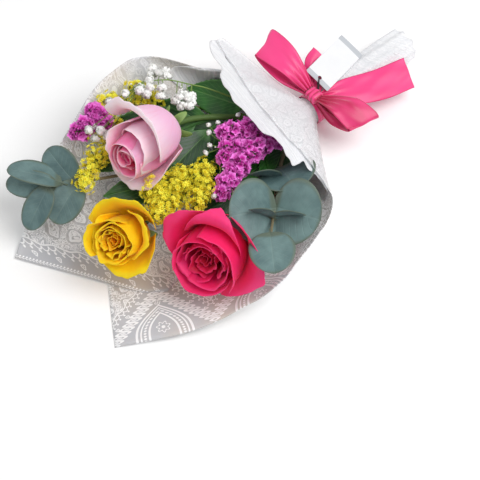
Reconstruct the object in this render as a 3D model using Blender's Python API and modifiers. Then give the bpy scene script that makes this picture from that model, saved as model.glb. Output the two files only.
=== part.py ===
"""A small hand-tied rose bouquet, lying on its back as it is laid on a table.

Blender 4.5 script, metres, +Z up. Run it with: blender --background --python part.py

The stems run along +Y and the flowers face -Y. Three roses, two eucalyptus sprigs, goldenrod,
statice and gypsophila are held by a tie band. Two sheets of printed film and one of tissue are
gathered round the band and flare out under and over the flowers. A satin ribbon with a bow and
a card on an elastic loop closes it.

Points are written in millimetres in the bouquet's own frame, whose origin is on the table right
below the middle of the tie. The empty "bouquet" carries that frame, so that the finished
object's box stands centred on the world origin.
"""

import math

import bmesh
import bpy
from mathutils import Matrix, Vector

MM = 0.001

# ---------------------------------------------------------------- driving dimensions (mm)
FRAME_SHIFT = Vector((-4.5, 98.0, 0.0))   # from the tie's foot to the middle of the box
TIE_HEIGHT = 16.2                         # middle of the stem bundle above the table
TAIL_LENGTH = 124.0                       # wrap behind the tie
STEM_END = 112.0                          # cut ends of the stems behind the tie
BUNDLE_RADIUS = 10.8                      # the packed stems, inside the tie band
BAND_WALL = 0.7
SHEET_WALL = 0.6                          # film and tissue, thicker than real so that they hold
SHEET_PITCH = 1.2                         # from one wrapped layer to the next
TISSUE_RADIUS = 12.1                      # middle of the tissue's wall at the tie
COLLAR_LENGTH = 24.0                      # film behind the tie
RIBBON_WALL = 0.7
RIBBON_WIDTH = 31.0
GATHERED_WIDTH = 13.0                     # ribbon pulled together round the tie
CLEAR = 0.3                               # gap between pieces that touch
PETAL_WALL = 0.9
LEAF_WALL = 0.8
LEAF_CUP, LEAF_BOW = 0.12, 0.06           # sink of a leaf's middle and bow of its length, as shares
VOXEL = 3.0                               # finest lump of a flower spray

GOLDEN_ANGLE = math.radians(137.508)


# ---------------------------------------------------------------- scene and materials
def clear_scene():
    """Removes whatever the file holds."""
    for obj in list(bpy.data.objects):
        bpy.data.objects.remove(obj)


def make_collection(name):
    """A collection linked to the scene."""
    collection = bpy.data.collections.new(name)
    bpy.context.scene.collection.children.link(collection)
    return collection


def make_material(name, colour, roughness, metallic=0.0):
    """A Principled BSDF of one colour."""
    material = bpy.data.materials.new(name)
    material.use_nodes = True
    shader = material.node_tree.nodes["Principled BSDF"]
    shader.inputs["Base Color"].default_value = (*colour, 1.0)
    shader.inputs["Roughness"].default_value = roughness
    shader.inputs["Metallic"].default_value = metallic
    return material


clear_scene()
PIECES = make_collection("rose_bouquet")
HELPERS = make_collection("helpers")

PINK = make_material("pink_petal", (0.86, 0.42, 0.60), 0.5)
YELLOW = make_material("yellow_petal", (0.95, 0.60, 0.02), 0.5)
MAGENTA = make_material("magenta_petal", (0.80, 0.02, 0.16), 0.5)
STEM_GREEN = make_material("stem_green", (0.16, 0.28, 0.07), 0.55)
LEAF_GREEN = make_material("leaf_green", (0.03, 0.12, 0.03), 0.4)
GLAUCOUS = make_material("eucalyptus_leaf", (0.18, 0.27, 0.25), 0.6)
GOLDENROD = make_material("goldenrod", (0.75, 0.60, 0.02), 0.7)
STATICE = make_material("statice", (0.62, 0.07, 0.42), 0.7)
GYPSOPHILA = make_material("gypsophila", (0.85, 0.86, 0.80), 0.7)
FILM = make_material("printed_film", (0.60, 0.60, 0.60), 0.25)
TISSUE = make_material("tissue", (0.86, 0.87, 0.90), 0.7)
SATIN = make_material("satin_ribbon", (0.78, 0.06, 0.24), 0.35)
CARD = make_material("card", (0.90, 0.90, 0.88), 0.6)
ELASTIC = make_material("black_elastic", (0.02, 0.02, 0.02), 0.6)
BAND = make_material("tie_band", (0.35, 0.40, 0.25), 0.6)

ROOT = bpy.data.objects.new("bouquet", None)
PIECES.objects.link(ROOT)
ROOT.location = FRAME_SHIFT * MM


# ---------------------------------------------------------------- general tools
def smooth_step(x):
    """0 to 1 with level ends, for x from 0 to 1."""
    x = min(1.0, max(0.0, x))
    return x * x * (3 - 2 * x)


def blend(a, b, share):
    """The point or number that share of the way from a to b."""
    return a + (b - a) * share


def turned_towards(axis, up=(0, 0, 1)):
    """A rotation whose Z is the axis and whose Y is as near to up as it can be."""
    z = Vector(axis).normalized()
    x = Vector(up).cross(z).normalized()
    return Matrix((x, z.cross(x), z)).transposed()


def add_object(name, mesh, material, parent=ROOT, location=(0, 0, 0), rotation=None):
    """An object in the bouquet's collection, placed in millimetres under its parent."""
    obj = bpy.data.objects.new(name, mesh)
    PIECES.objects.link(obj)
    obj.parent = parent
    obj.location = Vector(location) * MM
    if rotation is not None:
        obj.rotation_euler = rotation.to_euler()
    if material is not None:
        obj.data.materials.append(material)
    return obj


def add_frame(name, location, rotation):
    """An empty that carries a flower's or leaf's own frame."""
    empty = bpy.data.objects.new(name, None)
    PIECES.objects.link(empty)
    empty.parent = ROOT
    empty.location = Vector(location) * MM
    empty.rotation_euler = rotation.to_euler()
    return empty


def mesh_from(name, bm):
    """The finished bmesh as a smooth-shaded mesh, faces outward."""
    mesh = bpy.data.meshes.new(name)
    bm.to_mesh(mesh)
    bm.free()
    mesh.shade_smooth()
    return mesh


def shaped_grid(name, columns, rows, place, wall, material, parent=ROOT, closed=False):
    """A thin piece: a flat grid put in place point by point, then given a thickness.

    place(u, v) gives the point in mm for u and v from 0 to 1. A closed grid runs right round,
    so that its first and last columns meet.
    """
    bm = bmesh.new()
    bmesh.ops.create_grid(bm, x_segments=columns, y_segments=rows, size=0.5)
    for vert in bm.verts:
        vert.co = Vector(place(vert.co.x + 0.5, vert.co.y + 0.5)) * MM
    if closed:
        bmesh.ops.remove_doubles(bm, verts=bm.verts, dist=1e-6)
    obj = add_object(name, mesh_from(name, bm), material, parent)
    solidify = obj.modifiers.new("thickness", "SOLIDIFY")
    solidify.thickness = wall * MM
    solidify.offset = 0.0
    solidify.use_even_offset = False
    return obj


def tube_curve(name, points, radii, collection, sides=3):
    """A round bar along points in mm, with a radius for each point and closed ends."""
    curve = bpy.data.curves.new(name, "CURVE")
    curve.dimensions = "3D"
    curve.bevel_depth = MM
    curve.bevel_resolution = sides
    curve.use_fill_caps = True
    spline = curve.splines.new("POLY")
    spline.points.add(len(points) - 1)
    for knot, point, radius in zip(spline.points, points, radii):
        knot.co = (*(Vector(point) * MM), 1.0)
        knot.radius = radius
    obj = bpy.data.objects.new(name, curve)
    collection.objects.link(obj)
    return obj


def tube(name, points, radii, material, sides=1):
    """A stem or cord as a mesh with welded caps."""
    curve = tube_curve(name + "_curve", points, radii, HELPERS, sides)
    bpy.context.view_layer.update()
    evaluated = curve.evaluated_get(bpy.context.evaluated_depsgraph_get())
    mesh = bpy.data.meshes.new_from_object(evaluated)
    bpy.data.objects.remove(curve)
    bm = bmesh.new()
    bm.from_mesh(mesh)
    bmesh.ops.remove_doubles(bm, verts=bm.verts, dist=1e-6)
    bmesh.ops.recalc_face_normals(bm, faces=bm.faces)
    obj = add_object(name, mesh_from(name, bm), material)
    return obj


def smooth_route(points, steps):
    """Points on a smooth curve through the given ones (Catmull-Rom)."""
    points = [Vector(p) for p in points]
    padded = [2 * points[0] - points[1], *points, 2 * points[-1] - points[-2]]
    route = []
    for i in range(len(points) - 1):
        a, b, c, d = padded[i : i + 4]
        for k in range(steps):
            t = k / steps
            route.append(
                0.5 * (2 * b + (c - a) * t + (2 * a - 5 * b + 4 * c - d) * t * t
                       + (3 * b - a - 3 * c + d) * t ** 3)
            )
    route.append(points[-1])
    return route


# ---------------------------------------------------------------- stems
STEM_PLACES = {                            # x and z from the middle of the tie, and the radius
    "pink_rose": (-1.9, 6.4, 3.0),
    "yellow_rose": (0.7, -7.5, 3.0),
    "magenta_rose": (6.2, -4.0, 3.0),
    "eucalyptus_right": (7.2, 2.1, 2.3),
    "eucalyptus_left": (-0.7, -2.0, 2.3),
    "goldenrod_centre": (3.2, 0.1, 1.75),
    "goldenrod_left": (-4.0, -5.0, 1.75),
    "goldenrod_back": (-3.0, 1.5, 1.5),
    "statice_right": (3.1, 4.3, 1.75),
    "statice_left": (-5.2, -1.3, 1.75),
    "gypsophila_left": (-5.8, 3.2, 1.4),
    "gypsophila_right": (0.3, 2.1, 1.4),
}
LOWEST_STEM = 14.0                         # how low a stem may sag in front of the tie
STEM_STRAIGHT = 8.0                        # how far in front of the tie the stems stay parallel


def stem_points(place, end, lean, cut, steps=7):
    """A stem's middle line: straight through the tail and the tie, then a curve to its end.

    lean is the direction in which it arrives, and cut how much shorter than the longest it is.
    """
    x, z, _ = STEM_PLACES[place]
    start = Vector((x, -STEM_STRAIGHT, TIE_HEIGHT + z))
    back = Vector((x, STEM_END - cut, TIE_HEIGHT + z))
    end, lean = Vector(end), Vector(lean).normalized()
    reach = (end - start).length
    control_a = start + Vector((0, -0.28 * reach, 0))
    control_b = end - lean * 0.30 * reach
    control_b.z = max(control_b.z, LOWEST_STEM)
    points = [back, blend(back, start, 0.5)]
    for k in range(steps + 1):
        t = k / steps
        points.append(
            start * (1 - t) ** 3 + control_a * 3 * t * (1 - t) ** 2
            + control_b * 3 * t * t * (1 - t) + end * t ** 3
        )
    return points


STEMS = {}                                 # each stem's middle line and its radii, by name


def add_stem(name, route, radii, material=STEM_GREEN):
    """A stem as its own piece, remembered so that leaves can start on it."""
    STEMS[name] = (route, radii)
    return tube(name + "_stem", route, radii, material)


def on_stem(name, y, direction, gap=CLEAR + LEAF_WALL / 2):
    """A point just clear of a stem's side, where the stem crosses that y."""
    route, radii = STEMS[name]
    i = next((k for k in range(len(route) - 1) if route[k + 1].y <= y), len(route) - 2)
    t = (route[i].y - y) / (route[i].y - route[i + 1].y)
    ahead = (route[i + 1] - route[i]).normalized()
    side = Vector(direction) - ahead * ahead.dot(Vector(direction))
    reach = blend(radii[i], radii[i + 1], t) + gap
    return blend(route[i], route[i + 1], t) + side.normalized() * reach


# ---------------------------------------------------------------- roses
HIP_RADIUS, HIP_LENGTH = 6.0, 10.0
INNER_LIFT = 1.6                           # the inner petals' roots lie on those of the outer ones
HEART_ROOM = 0.7                           # more than the clearance, for the facets' flats


def profile(length, base_radius, angles, steps=24):
    """A petal's line from base to tip as (distance from the axis, height) pairs.

    angles are the slopes in degrees above level at the base, in the body and at the lip. A
    slope over 90 leans back over the flower's heart.
    """
    base, body, lip = angles
    points = [(base_radius, 0.0)]
    for k in range(steps):
        v = (k + 0.5) / steps
        slope = blend(base, body, smooth_step(v / 0.45))
        slope = math.radians(blend(slope, lip, smooth_step((v - 0.62) / 0.38)))
        radius, height = points[-1]
        points.append(
            (radius + math.cos(slope) * length / steps, height + math.sin(slope) * length / steps)
        )
    return points


def on_profile(points, v):
    """The profile's (distance, height) at v from 0 to 1."""
    place = min(max(v, 0.0), 1.0) * (len(points) - 1)
    i = min(int(place), len(points) - 2)
    (r0, h0), (r1, h1) = points[i], points[i + 1]
    return blend(r0, r1, place - i), blend(h0, h1, place - i)


def petal_width(v):
    """The petal's width at v as a share of its full width: a claw, a broad body, a round tip."""
    return 0.16 + 0.84 * smooth_step(v / 0.62)


def petal(name, material, parent, turn, line, half_width, flatness, lift):
    """One outer petal: a strip that follows its profile line and wraps round the flower's axis.

    flatness is the strip's own bend radius as a share of its distance from the axis, and lift
    how far its root stands clear of the hip.
    """

    def place(u, v):
        side = 2 * u - 1
        radius, height = on_profile(line, v * (1 - 0.20 * abs(side) ** 3))
        wrap = max(flatness * radius, 5.0)
        bend = side * half_width * petal_width(v) / wrap
        out = radius - wrap + wrap * math.cos(bend)
        across = wrap * math.sin(bend)
        return (
            out * math.cos(turn) - across * math.sin(turn),
            out * math.sin(turn) + across * math.cos(turn),
            height + lift + PETAL_WALL / 2,
        )

    return shaped_grid(name, 6, 6, place, PETAL_WALL, material, parent)


def heart(name, material, parent, line, height, mouth):
    """The closed middle of the flower: a turned bud that fills the inner petals.

    It follows their profile line up to the height, closes over, and dips at its middle to a
    mouth of the given radius.
    """
    room = PETAL_WALL / 2 + CLEAR + HEART_ROOM
    side = [(r - room, h) for r, h in (on_profile(line, k / 8) for k in range(9))]
    side = [(r, h) for r, h in side if r > 1.5 and h < 0.8 * height]
    rim, low = side[-1][0], side[0][1] + room + INNER_LIFT
    outline = [(0.0, 0.72 * height), (0.45 * mouth, 0.78 * height), (mouth, height),
               (0.5 * (mouth + rim), 0.985 * height), (0.93 * rim, 0.90 * height)]
    outline += [(r, h + room + INNER_LIFT) for r, h in reversed(side)] + [(0.0, low)]
    bm = bmesh.new()
    verts = [bm.verts.new((r * MM, 0, h * MM)) for r, h in outline]
    for a, b in zip(verts, verts[1:]):
        bm.edges.new((a, b))
    obj = add_object(name, mesh_from(name, bm), material, parent)
    screw = obj.modifiers.new("turned", "SCREW")
    screw.steps = screw.render_steps = 16
    screw.use_merge_vertices = True
    screw.merge_threshold = 0.00002
    return obj


def calyx(name, parent, sepal_length, droop):
    """Five sepals joined in a ring round the top of the hip, spreading under the petals."""

    def place(u, v):
        turn = 2 * math.pi * u
        lobe = abs(math.cos(2.5 * turn)) ** 1.5
        reach = v * blend(3.0, sepal_length, lobe)
        slope = math.radians(blend(0, droop, smooth_step(reach / 16)))
        out = HIP_RADIUS + CLEAR + 0.6 + reach * math.cos(slope)
        return out * math.cos(turn), out * math.sin(turn), reach * math.sin(slope) - 1.2

    return shaped_grid(name, 20, 3, place, 0.6, STEM_GREEN, parent, closed=True)


def rose(name, material, base, axis, roll, head, inner, outer, sepals, cut):
    """A cut rose: stem with its hip, calyx, heart and two pairs of outer petals.

    head is the heart's height and its mouth's radius. inner and outer are each (length, root
    radius, slopes, half-width, flatness) of a pair of petals.
    """
    base, axis = Vector(base), Vector(axis).normalized()
    frame = add_frame(name + "_frame", base, turned_towards(axis))
    route = stem_points(name, base - axis * HIP_LENGTH, axis, cut)
    radii = [STEM_PLACES[name][2]] * len(route)
    for share, radius in ((0.25, 3.6), (0.55, 5.6), (0.85, HIP_RADIUS), (1.0, HIP_RADIUS - 0.2)):
        route.append(base - axis * HIP_LENGTH * (1 - share))
        radii.append(radius)
    add_stem(name, route, radii)
    calyx(name + "_calyx", frame, *sepals)
    lines = [profile(length, root, slopes) for length, root, slopes, _, _ in (inner, outer)]
    heart(name + "_heart", material, frame, lines[0], *head)
    for i, (pair, turn) in enumerate(((0, 0), (0, 180), (1, 90), (1, 270)), 1):
        _, _, _, half_width, flatness = (inner, outer)[pair]
        petal(f"{name}_petal_{i}", material, frame, math.radians(turn + roll), lines[pair],
              half_width, flatness, (INNER_LIFT, CLEAR)[pair])


def add_roses():
    """The three roses, each with its own openness."""
    rose("pink_rose", PINK, (-43, -142, 65), (0.12, -0.92, 0.37), 20, (58, 8),
         (69, 3.2, (20, 84, 84), 32, 1.06), (71, 4.8, (4, 76, 62), 38, 1.18), (24, -18), 2)
    rose("yellow_rose", YELLOW, (9, -225, 36), (0.29, -0.64, 0.71), 40, (37, 9),
         (48, 3.2, (20, 76, 66), 27, 1.06), (50, 4.8, (4, 66, 34), 34, 1.18), (20, -30), 6)
    rose("magenta_rose", MAGENTA, (68, -168, 41), (0.40, -0.75, 0.52), 65, (46, 11),
         (58, 3.2, (16, 72, 60), 33, 1.06), (63, 4.8, (2, 62, 12), 42, 1.18), (22, -30), 0)


# ---------------------------------------------------------------- leaves
TOWARDS_VIEWER = (0.38, -0.32, 0.87)       # the side on which the bouquet is looked at
EDGE_ON = (-0.72, 0.62, 0.33)


def leaf(name, base, tip, facing, width, material, round_blade=False, stalk=0.16):
    """A leaf with its stalk, from base to tip, its upper side towards facing.

    stalk is the share of the length that is stalk. The blade is slightly cupped and bowed.
    """
    base, tip = Vector(base), Vector(tip)
    length = (tip - base).length
    along = (tip - base).normalized()
    across = along.cross(Vector(facing)).normalized()
    normal = across.cross(along)

    def half_width(v):
        t = (v - stalk) / (1 - stalk)
        if t <= 0 or t >= 1:
            return 0.9
        if round_blade:
            return max(0.9, math.sqrt(1 - (2 * t - 1) ** 2) * width / 2)
        return max(0.9, math.sin(math.pi * t ** 0.85) ** 0.8 * width / 2)

    def place(u, v):
        side = 2 * u - 1
        v = 0.5 - 0.5 * math.cos(math.pi * v) if round_blade else v
        half = half_width(v)
        rise = LEAF_CUP * half * side * side + LEAF_BOW * length * math.sin(math.pi * v)
        return base + along * v * length + across * side * half + normal * rise

    return shaped_grid(name, 4, 7, place, LEAF_WALL, material)


def add_rose_leaves():
    """The broad dark leaves on the rose stems: stem, y of the leaf's start, side, tip, width."""
    for name, stem, y, side, tip, width in (
        ("rose_leaf_large", "pink_rose", -52, (-0.3, 0, 1), (-81, -92, 44), 37),
        ("rose_leaf_left", "pink_rose", -74, (0.2, 0, -1), (-44, -126, 31), 28),
        ("rose_leaf_middle", "yellow_rose", -92, (-0.2, 0, 1), (-6, -152, 42), 26),
        ("rose_leaf_right", "magenta_rose", -70, (-0.4, 0, 1), (32, -142, 40), 28),
        ("rose_leaf_small", "magenta_rose", -50, (-0.6, 0, 1), (33, -98, 36), 18),
    ):
        leaf(name, on_stem(stem, y, side), tip, TOWARDS_VIEWER, width, LEAF_GREEN, stalk=0.25)


# ---------------------------------------------------------------- eucalyptus
def add_eucalyptus():
    """Two sprigs of round-leaved eucalyptus, with leaves in pairs at the nodes of their stems."""
    for name, end, lean, cut, leaves in (
        ("eucalyptus_right", (106, -148, 66), (0.62, -0.72, 0.30), 4, (
            ("leaf_1", -92, (1, 0, 0.4), (91, -77, 52), TOWARDS_VIEWER, 36),
            ("leaf_2", -96, (-1, 0, 0.5), (48, -118, 60), EDGE_ON, 26),
            ("leaf_3", -122, (-1, 0, 0.4), (66, -153, 75), TOWARDS_VIEWER, 40),
            ("leaf_4", -120, (1, 0, 0.2), (128, -104, 57), TOWARDS_VIEWER, 44),
            ("leaf_5", -133, (0, 0, 1), (84, -149, 79), EDGE_ON, 14),
            ("leaf_6", -132, (0.9, 0, 0.7), (110, -119, 72), EDGE_ON, 16),
            ("leaf_7", -147.9, (0, 0, 1), (137, -154, 80), TOWARDS_VIEWER, 36))),
        ("eucalyptus_left", (-73, -266, 51), (-0.35, -0.90, 0.26), 8, (
            ("leaf_1", -240, (-0.6, 0, 0.8), (-99, -243, 60), (0.1, -0.5, 0.86), 28),
            ("leaf_2", -238, (1, 0, -0.6), (-50, -276, 30), TOWARDS_VIEWER, 28),
            ("leaf_3", -254, (-0.6, 0, 0.8), (-101, -286, 64), (-0.3, 0.1, 0.95), 28),
            ("leaf_4", -257, (-1, 0, -0.1), (-99, -290, 48), TOWARDS_VIEWER, 22),
            ("leaf_5", -263, (1, 0, -1), (-60, -298, 28), TOWARDS_VIEWER, 22))),
    ):
        route = stem_points(name, end, lean, cut)
        thick = STEM_PLACES[name][2]
        radii = [thick] * 3 + [blend(thick, 1.2, k / (len(route) - 4)) for k in range(len(route) - 3)]
        add_stem(name, route, radii)
        for part, y, side, tip, facing, width in leaves:
            leaf(f"{name}_{part}", on_stem(name, y, side), tip, facing, width, GLAUCOUS,
                 round_blade=True, stalk=0.10)


# ---------------------------------------------------------------- small-flowered sprays
def spray(name, end, lean, cut, head, half_width, lump, material, keep=0.22):
    """A stem whose head is a crowd of small flowers, made as one lumpy body.

    head gives points through the crowd. Lumps the size of a flower group wind round that line.
    """
    bm = bmesh.new()

    def add_lump(centre, size):
        matrix = Matrix.Translation(Vector(centre) * MM)
        bmesh.ops.create_icosphere(bm, subdivisions=2, radius=size * MM, matrix=matrix)

    line = smooth_route(head, 4)
    for i, centre in enumerate(line):
        t = i / (len(line) - 1)
        girth = half_width * (0.45 + 0.55 * math.sin(math.pi * (0.15 + 0.75 * t)))
        add_lump(centre, max(lump, 0.72 * girth))
        ahead = (line[min(i + 1, len(line) - 1)] - line[max(i - 1, 0)]).normalized()
        side = ahead.orthogonal().normalized()
        for k in range(2):
            turn = Matrix.Rotation(GOLDEN_ANGLE * (2 * i + k), 3, ahead)
            add_lump(centre + turn @ side * (girth - 0.5 * lump), lump)
    obj = add_object(name, mesh_from(name, bm), material)
    remesh = obj.modifiers.new("joined", "REMESH")
    remesh.mode = "VOXEL"
    remesh.voxel_size = VOXEL * MM
    decimate = obj.modifiers.new("fewer_faces", "DECIMATE")
    decimate.ratio = keep
    route = stem_points(name, end, lean, cut)
    route.append(Vector(head[0]))
    STEMS[name] = (route, [STEM_PLACES[name][2]] * len(route))
    stem = tube(name + "_stem", route, STEMS[name][1], material)
    stem.hide_render = True
    stem.display_type = "WIRE"
    PIECES.objects.unlink(stem)
    HELPERS.objects.link(stem)
    join = obj.modifiers.new("stem", "BOOLEAN")
    join.operation = "UNION"
    join.object = stem
    return obj


def add_sprays():
    """Goldenrod, statice and gypsophila between and behind the roses."""
    spray("goldenrod_centre", (2, -128, 46), (0.1, -0.95, 0.2), 10,
          [(4, -138, 48), (14, -166, 54), (22, -192, 56), (28, -208, 55)], 13, 5.0, GOLDENROD)
    spray("goldenrod_left", (-56, -184, 38), (-0.3, -0.9, 0.2), 5,
          [(-63, -190, 46), (-66, -213, 54), (-52, -238, 54)], 8.5, 4.5, GOLDENROD)
    spray("goldenrod_back", (-78, -119, 43), (-0.5, -0.8, 0.2), 9,
          [(-84, -126, 50), (-98, -152, 56)], 9, 4.5, GOLDENROD)
    spray("statice_right", (18, -62, 40), (0.2, -0.9, 0.4), 12,
          [(20, -70, 46), (26, -104, 58), (36, -136, 60)], 12, 5.0, STATICE)
    spray("statice_left", (-94, -174, 50), (-0.4, -0.8, 0.3), 7,
          [(-98, -182, 55), (-102, -204, 58)], 9, 4.5, STATICE)
    spray("gypsophila_left", (-60, -90, 65), (-0.6, -0.6, 0.3), 3,
          [(-66, -98, 69), (-82, -114, 74), (-94, -134, 76)], 7, 4.0, GYPSOPHILA)
    spray("gypsophila_right", (6, -88, 52), (0.1, -0.9, 0.3), 14,
          [(5, -96, 56), (2, -112, 60)], 5, 4.0, GYPSOPHILA)


# ---------------------------------------------------------------- wrap
# Each row of a sheet's outline is a ray from the gathered ring at the tie to the sheet's free
# edge: the ray's angle round the tie in degrees, the edge point, how fast the ray sinks to the
# table (sink) and how late it rises to the edge (rise), and whether the edge turns a corner.
LEFT_FILM_EDGE = [
    (150, (-34, -50, 52), 1.0, 1.0, True),
    (155, (-56, -54, 58), 1.0, 1.1, False),
    (162, (-80, -77, 62), 1.1, 1.3, False),
    (170, (-118, -108, 70), 1.3, 1.7, False),
    (180, (-128, -137, 70), 1.6, 2.0, False),
    (190, (-123, -174, 64), 2.0, 2.2, False),
    (200, (-106, -223, 48), 2.5, 2.4, False),
    (210, (-98, -246, 32), 3.0, 2.4, False),
    (222, (-84, -280, 12), 3.5, 2.4, False),
    (237, (-57, -320, 1.3), 4.0, 2.4, True),
    (250, (-20, -296, 1.3), 4.0, 2.4, False),
    (262, (20, -270, 1.3), 4.0, 2.4, False),
    (273, (44, -254, 1.3), 4.0, 2.4, False),
    (284, (62, -232, 1.3), 4.0, 2.4, True),
]
RIGHT_FILM_EDGE = [
    (235, (-36, -236, 0.3), 4.0, 2.4, True),
    (248, (-8, -253, 0.3), 4.0, 2.4, False),
    (262, (20, -270, 0.3), 4.0, 2.4, False),
    (276, (48, -287, 0.3), 4.0, 2.4, False),
    (290, (76, -304, 0.3), 4.0, 2.4, True),
    (303, (110, -244, 8), 3.5, 2.4, False),
    (315, (126, -201, 20), 3.0, 2.4, False),
    (328, (135, -168, 34), 2.5, 2.4, False),
    (340, (134, -138, 45), 2.0, 2.2, False),
    (355, (123, -100, 51), 1.6, 1.8, False),
    (370, (110, -76, 54), 1.4, 1.5, False),
    (385, (93, -72, 62), 1.2, 1.3, False),
    (400, (68, -71, 72), 1.0, 1.1, False),
    (430, (40, -73, 80), 1.0, 1.0, False),
    (460, (-18, -67, 82), 1.0, 1.0, False),
    (485, (-56, -58, 82), 1.0, 1.0, False),
    (500, (-88, -49, 80), 1.0, 1.0, True),
]
LEFT_RING, RIGHT_RING = TISSUE_RADIUS + SHEET_PITCH, TISSUE_RADIUS + 2 * SHEET_PITCH
LEFT_FLOOR, RIGHT_FLOOR = SHEET_WALL / 2 + SHEET_PITCH, SHEET_WALL / 2
FLARE_START = 9.0                          # in front of the tie
TISSUE_JOINT = 262                         # where the tissue passes from one film to the other
WIDEST_STEP = 15.5                         # degrees between columns
SETTLED = 0.05                             # film this near its floor lies flat on it


def edge_at(keys, angle):
    """(edge point, sink, rise) of a film at an angle, smooth except at its corners."""
    i = next((k for k in range(len(keys) - 1) if angle <= keys[k + 1][0]), len(keys) - 2)
    span = keys[i + 1][0] - keys[i][0]
    t = (angle - keys[i][0]) / span
    start, end = Vector(keys[i][1]), Vector(keys[i + 1][1])

    def run(k):
        """The edge's direction at key k over this span: the chord's at a corner."""
        if keys[k][4]:
            return end - start
        before, after = keys[k - 1], keys[k + 1]
        return (Vector(after[1]) - Vector(before[1])) * span / (after[0] - before[0])

    point = (
        start * (2 * t ** 3 - 3 * t * t + 1) + run(i) * (t ** 3 - 2 * t * t + t)
        + end * (3 * t * t - 2 * t ** 3) + run(i + 1) * (t ** 3 - t * t)
    )
    sink, rise = (blend(keys[i][k], keys[i + 1][k], t) for k in (2, 3))
    return point, sink, rise


def ray_point(keys, ring, floor, angle, reach):
    """A point of a film: reach 0 is the ring at the tie, 1 the free edge."""
    edge, sink, rise = edge_at(keys, angle)
    turn = math.radians(angle)
    start = Vector((ring * math.cos(turn), -FLARE_START, TIE_HEIGHT + ring * math.sin(turn)))
    point = blend(start, edge, reach)
    point.z = floor + (start.z - floor) * (1 - reach) ** sink + (edge.z - floor) * reach ** rise
    if point.z < floor + SETTLED:
        point.z = floor
    return point


def inward(keys, ring, floor, angle, reach, distance):
    """A point that far inside the film."""
    a0, a1 = max(keys[0][0], angle - 1), min(keys[-1][0], angle + 1)
    r0, r1 = max(0.0, reach - 0.01), min(1.0, reach + 0.01)
    here = ray_point(keys, ring, floor, angle, reach)
    round_it = ray_point(keys, ring, floor, a1, reach) - ray_point(keys, ring, floor, a0, reach)
    outward = ray_point(keys, ring, floor, angle, r1) - ray_point(keys, ring, floor, angle, r0)
    return here + outward.cross(round_it).normalized() * distance


def key_columns(keys):
    """Angles for the columns: every key, and more where two keys are far apart."""
    angles = []
    for a, b in zip(keys, keys[1:]):
        parts = math.ceil((b[0] - a[0]) / WIDEST_STEP)
        angles += [blend(a[0], b[0], k / parts) for k in range(parts)]
    return [*angles, keys[-1][0]]


def film_sheet(name, keys, ring, floor):
    """A film from its collar behind the tie to its free edge."""
    angles = key_columns(keys)
    columns, rows, collar_rows = len(angles) - 1, 10, 2

    def place(u, v):
        angle = angles[round(u * columns)]
        row = v * rows
        turn = math.radians(angle)
        if row < collar_rows - 1e-6:
            y = (COLLAR_LENGTH, 8.0)[round(row)]
            wide = ring + (1.0 if row < 0.5 else 0.0)
            return wide * math.cos(turn), y, TIE_HEIGHT + wide * math.sin(turn)
        reach = max(0.0, (row - collar_rows) / (rows - collar_rows)) ** 1.25
        return ray_point(keys, ring, floor, angle, reach)

    return shaped_grid(name, columns, rows, place, SHEET_WALL, FILM)


TISSUE_REACH = [                           # angle and share of the film that the tissue reaches
    (162, 0.55), (180, 0.42), (220, 0.30), (262, 0.30), (310, 0.36), (350, 0.62),
    (385, 0.90), (400, 0.98), (430, 0.98), (500, 0.97),
]


def tissue_reach(angle):
    """The tissue's reach along the film's ray at an angle."""
    for (a0, r0), (a1, r1) in zip(TISSUE_REACH, TISSUE_REACH[1:]):
        if angle <= a1:
            return blend(r0, r1, smooth_step((angle - a0) / (a1 - a0)))
    return TISSUE_REACH[-1][1]


def tissue_sheet(name):
    """The tissue: a flattened tail round the stems, and a flare just inside the films."""
    first = TISSUE_REACH[0][0]
    angles = [a for a in key_columns(LEFT_FILM_EDGE) if first <= a < TISSUE_JOINT]
    angles += [a for a in key_columns(RIGHT_FILM_EDGE) if a >= TISSUE_JOINT]
    columns, rows, tail_rows = len(angles) - 1, 11, 3

    def place(u, v):
        angle = angles[round(u * columns)]
        row = v * rows
        turn = math.radians(angle)
        if row < tail_rows - 1e-6:
            y = (TAIL_LENGTH, 80.0, 8.0)[round(row)]
            flat = smooth_step((y - 8) / 80)
            wide, high = TISSUE_RADIUS + 5.0 * flat, TISSUE_RADIUS + 2.4 * flat
            return wide * math.cos(turn), y, TIE_HEIGHT + high * math.sin(turn)
        reach = max(0.0, (row - tail_rows) / (rows - tail_rows)) ** 1.25 * tissue_reach(angle)
        if angle < TISSUE_JOINT:
            return inward(LEFT_FILM_EDGE, LEFT_RING, LEFT_FLOOR, angle, reach, SHEET_PITCH)
        return inward(RIGHT_FILM_EDGE, RIGHT_RING, RIGHT_FLOOR, angle, reach, 2 * SHEET_PITCH)

    return shaped_grid(name, columns, rows, place, SHEET_WALL, TISSUE)


# ---------------------------------------------------------------- tie, ribbon and card
def ring_band(name, inner, wall, width, material):
    """A flat ring round the bundle, turned about the stems' direction."""
    bm = bmesh.new()
    corners = [(inner, width / 2), (inner + wall, width / 2), (inner + wall, -width / 2),
               (inner, -width / 2)]
    verts = [bm.verts.new((r * MM, 0, h * MM)) for r, h in corners]
    for a, b in zip(verts, verts[1:] + verts[:1]):
        bm.edges.new((a, b))
    rotation = Matrix.Rotation(math.radians(-90), 3, "X")
    obj = add_object(name, mesh_from(name, bm), material, ROOT, (0, 0, TIE_HEIGHT), rotation)
    screw = obj.modifiers.new("turned", "SCREW")
    screw.steps = screw.render_steps = 24
    screw.use_merge_vertices = True
    screw.merge_threshold = 0.00002
    return obj


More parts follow.
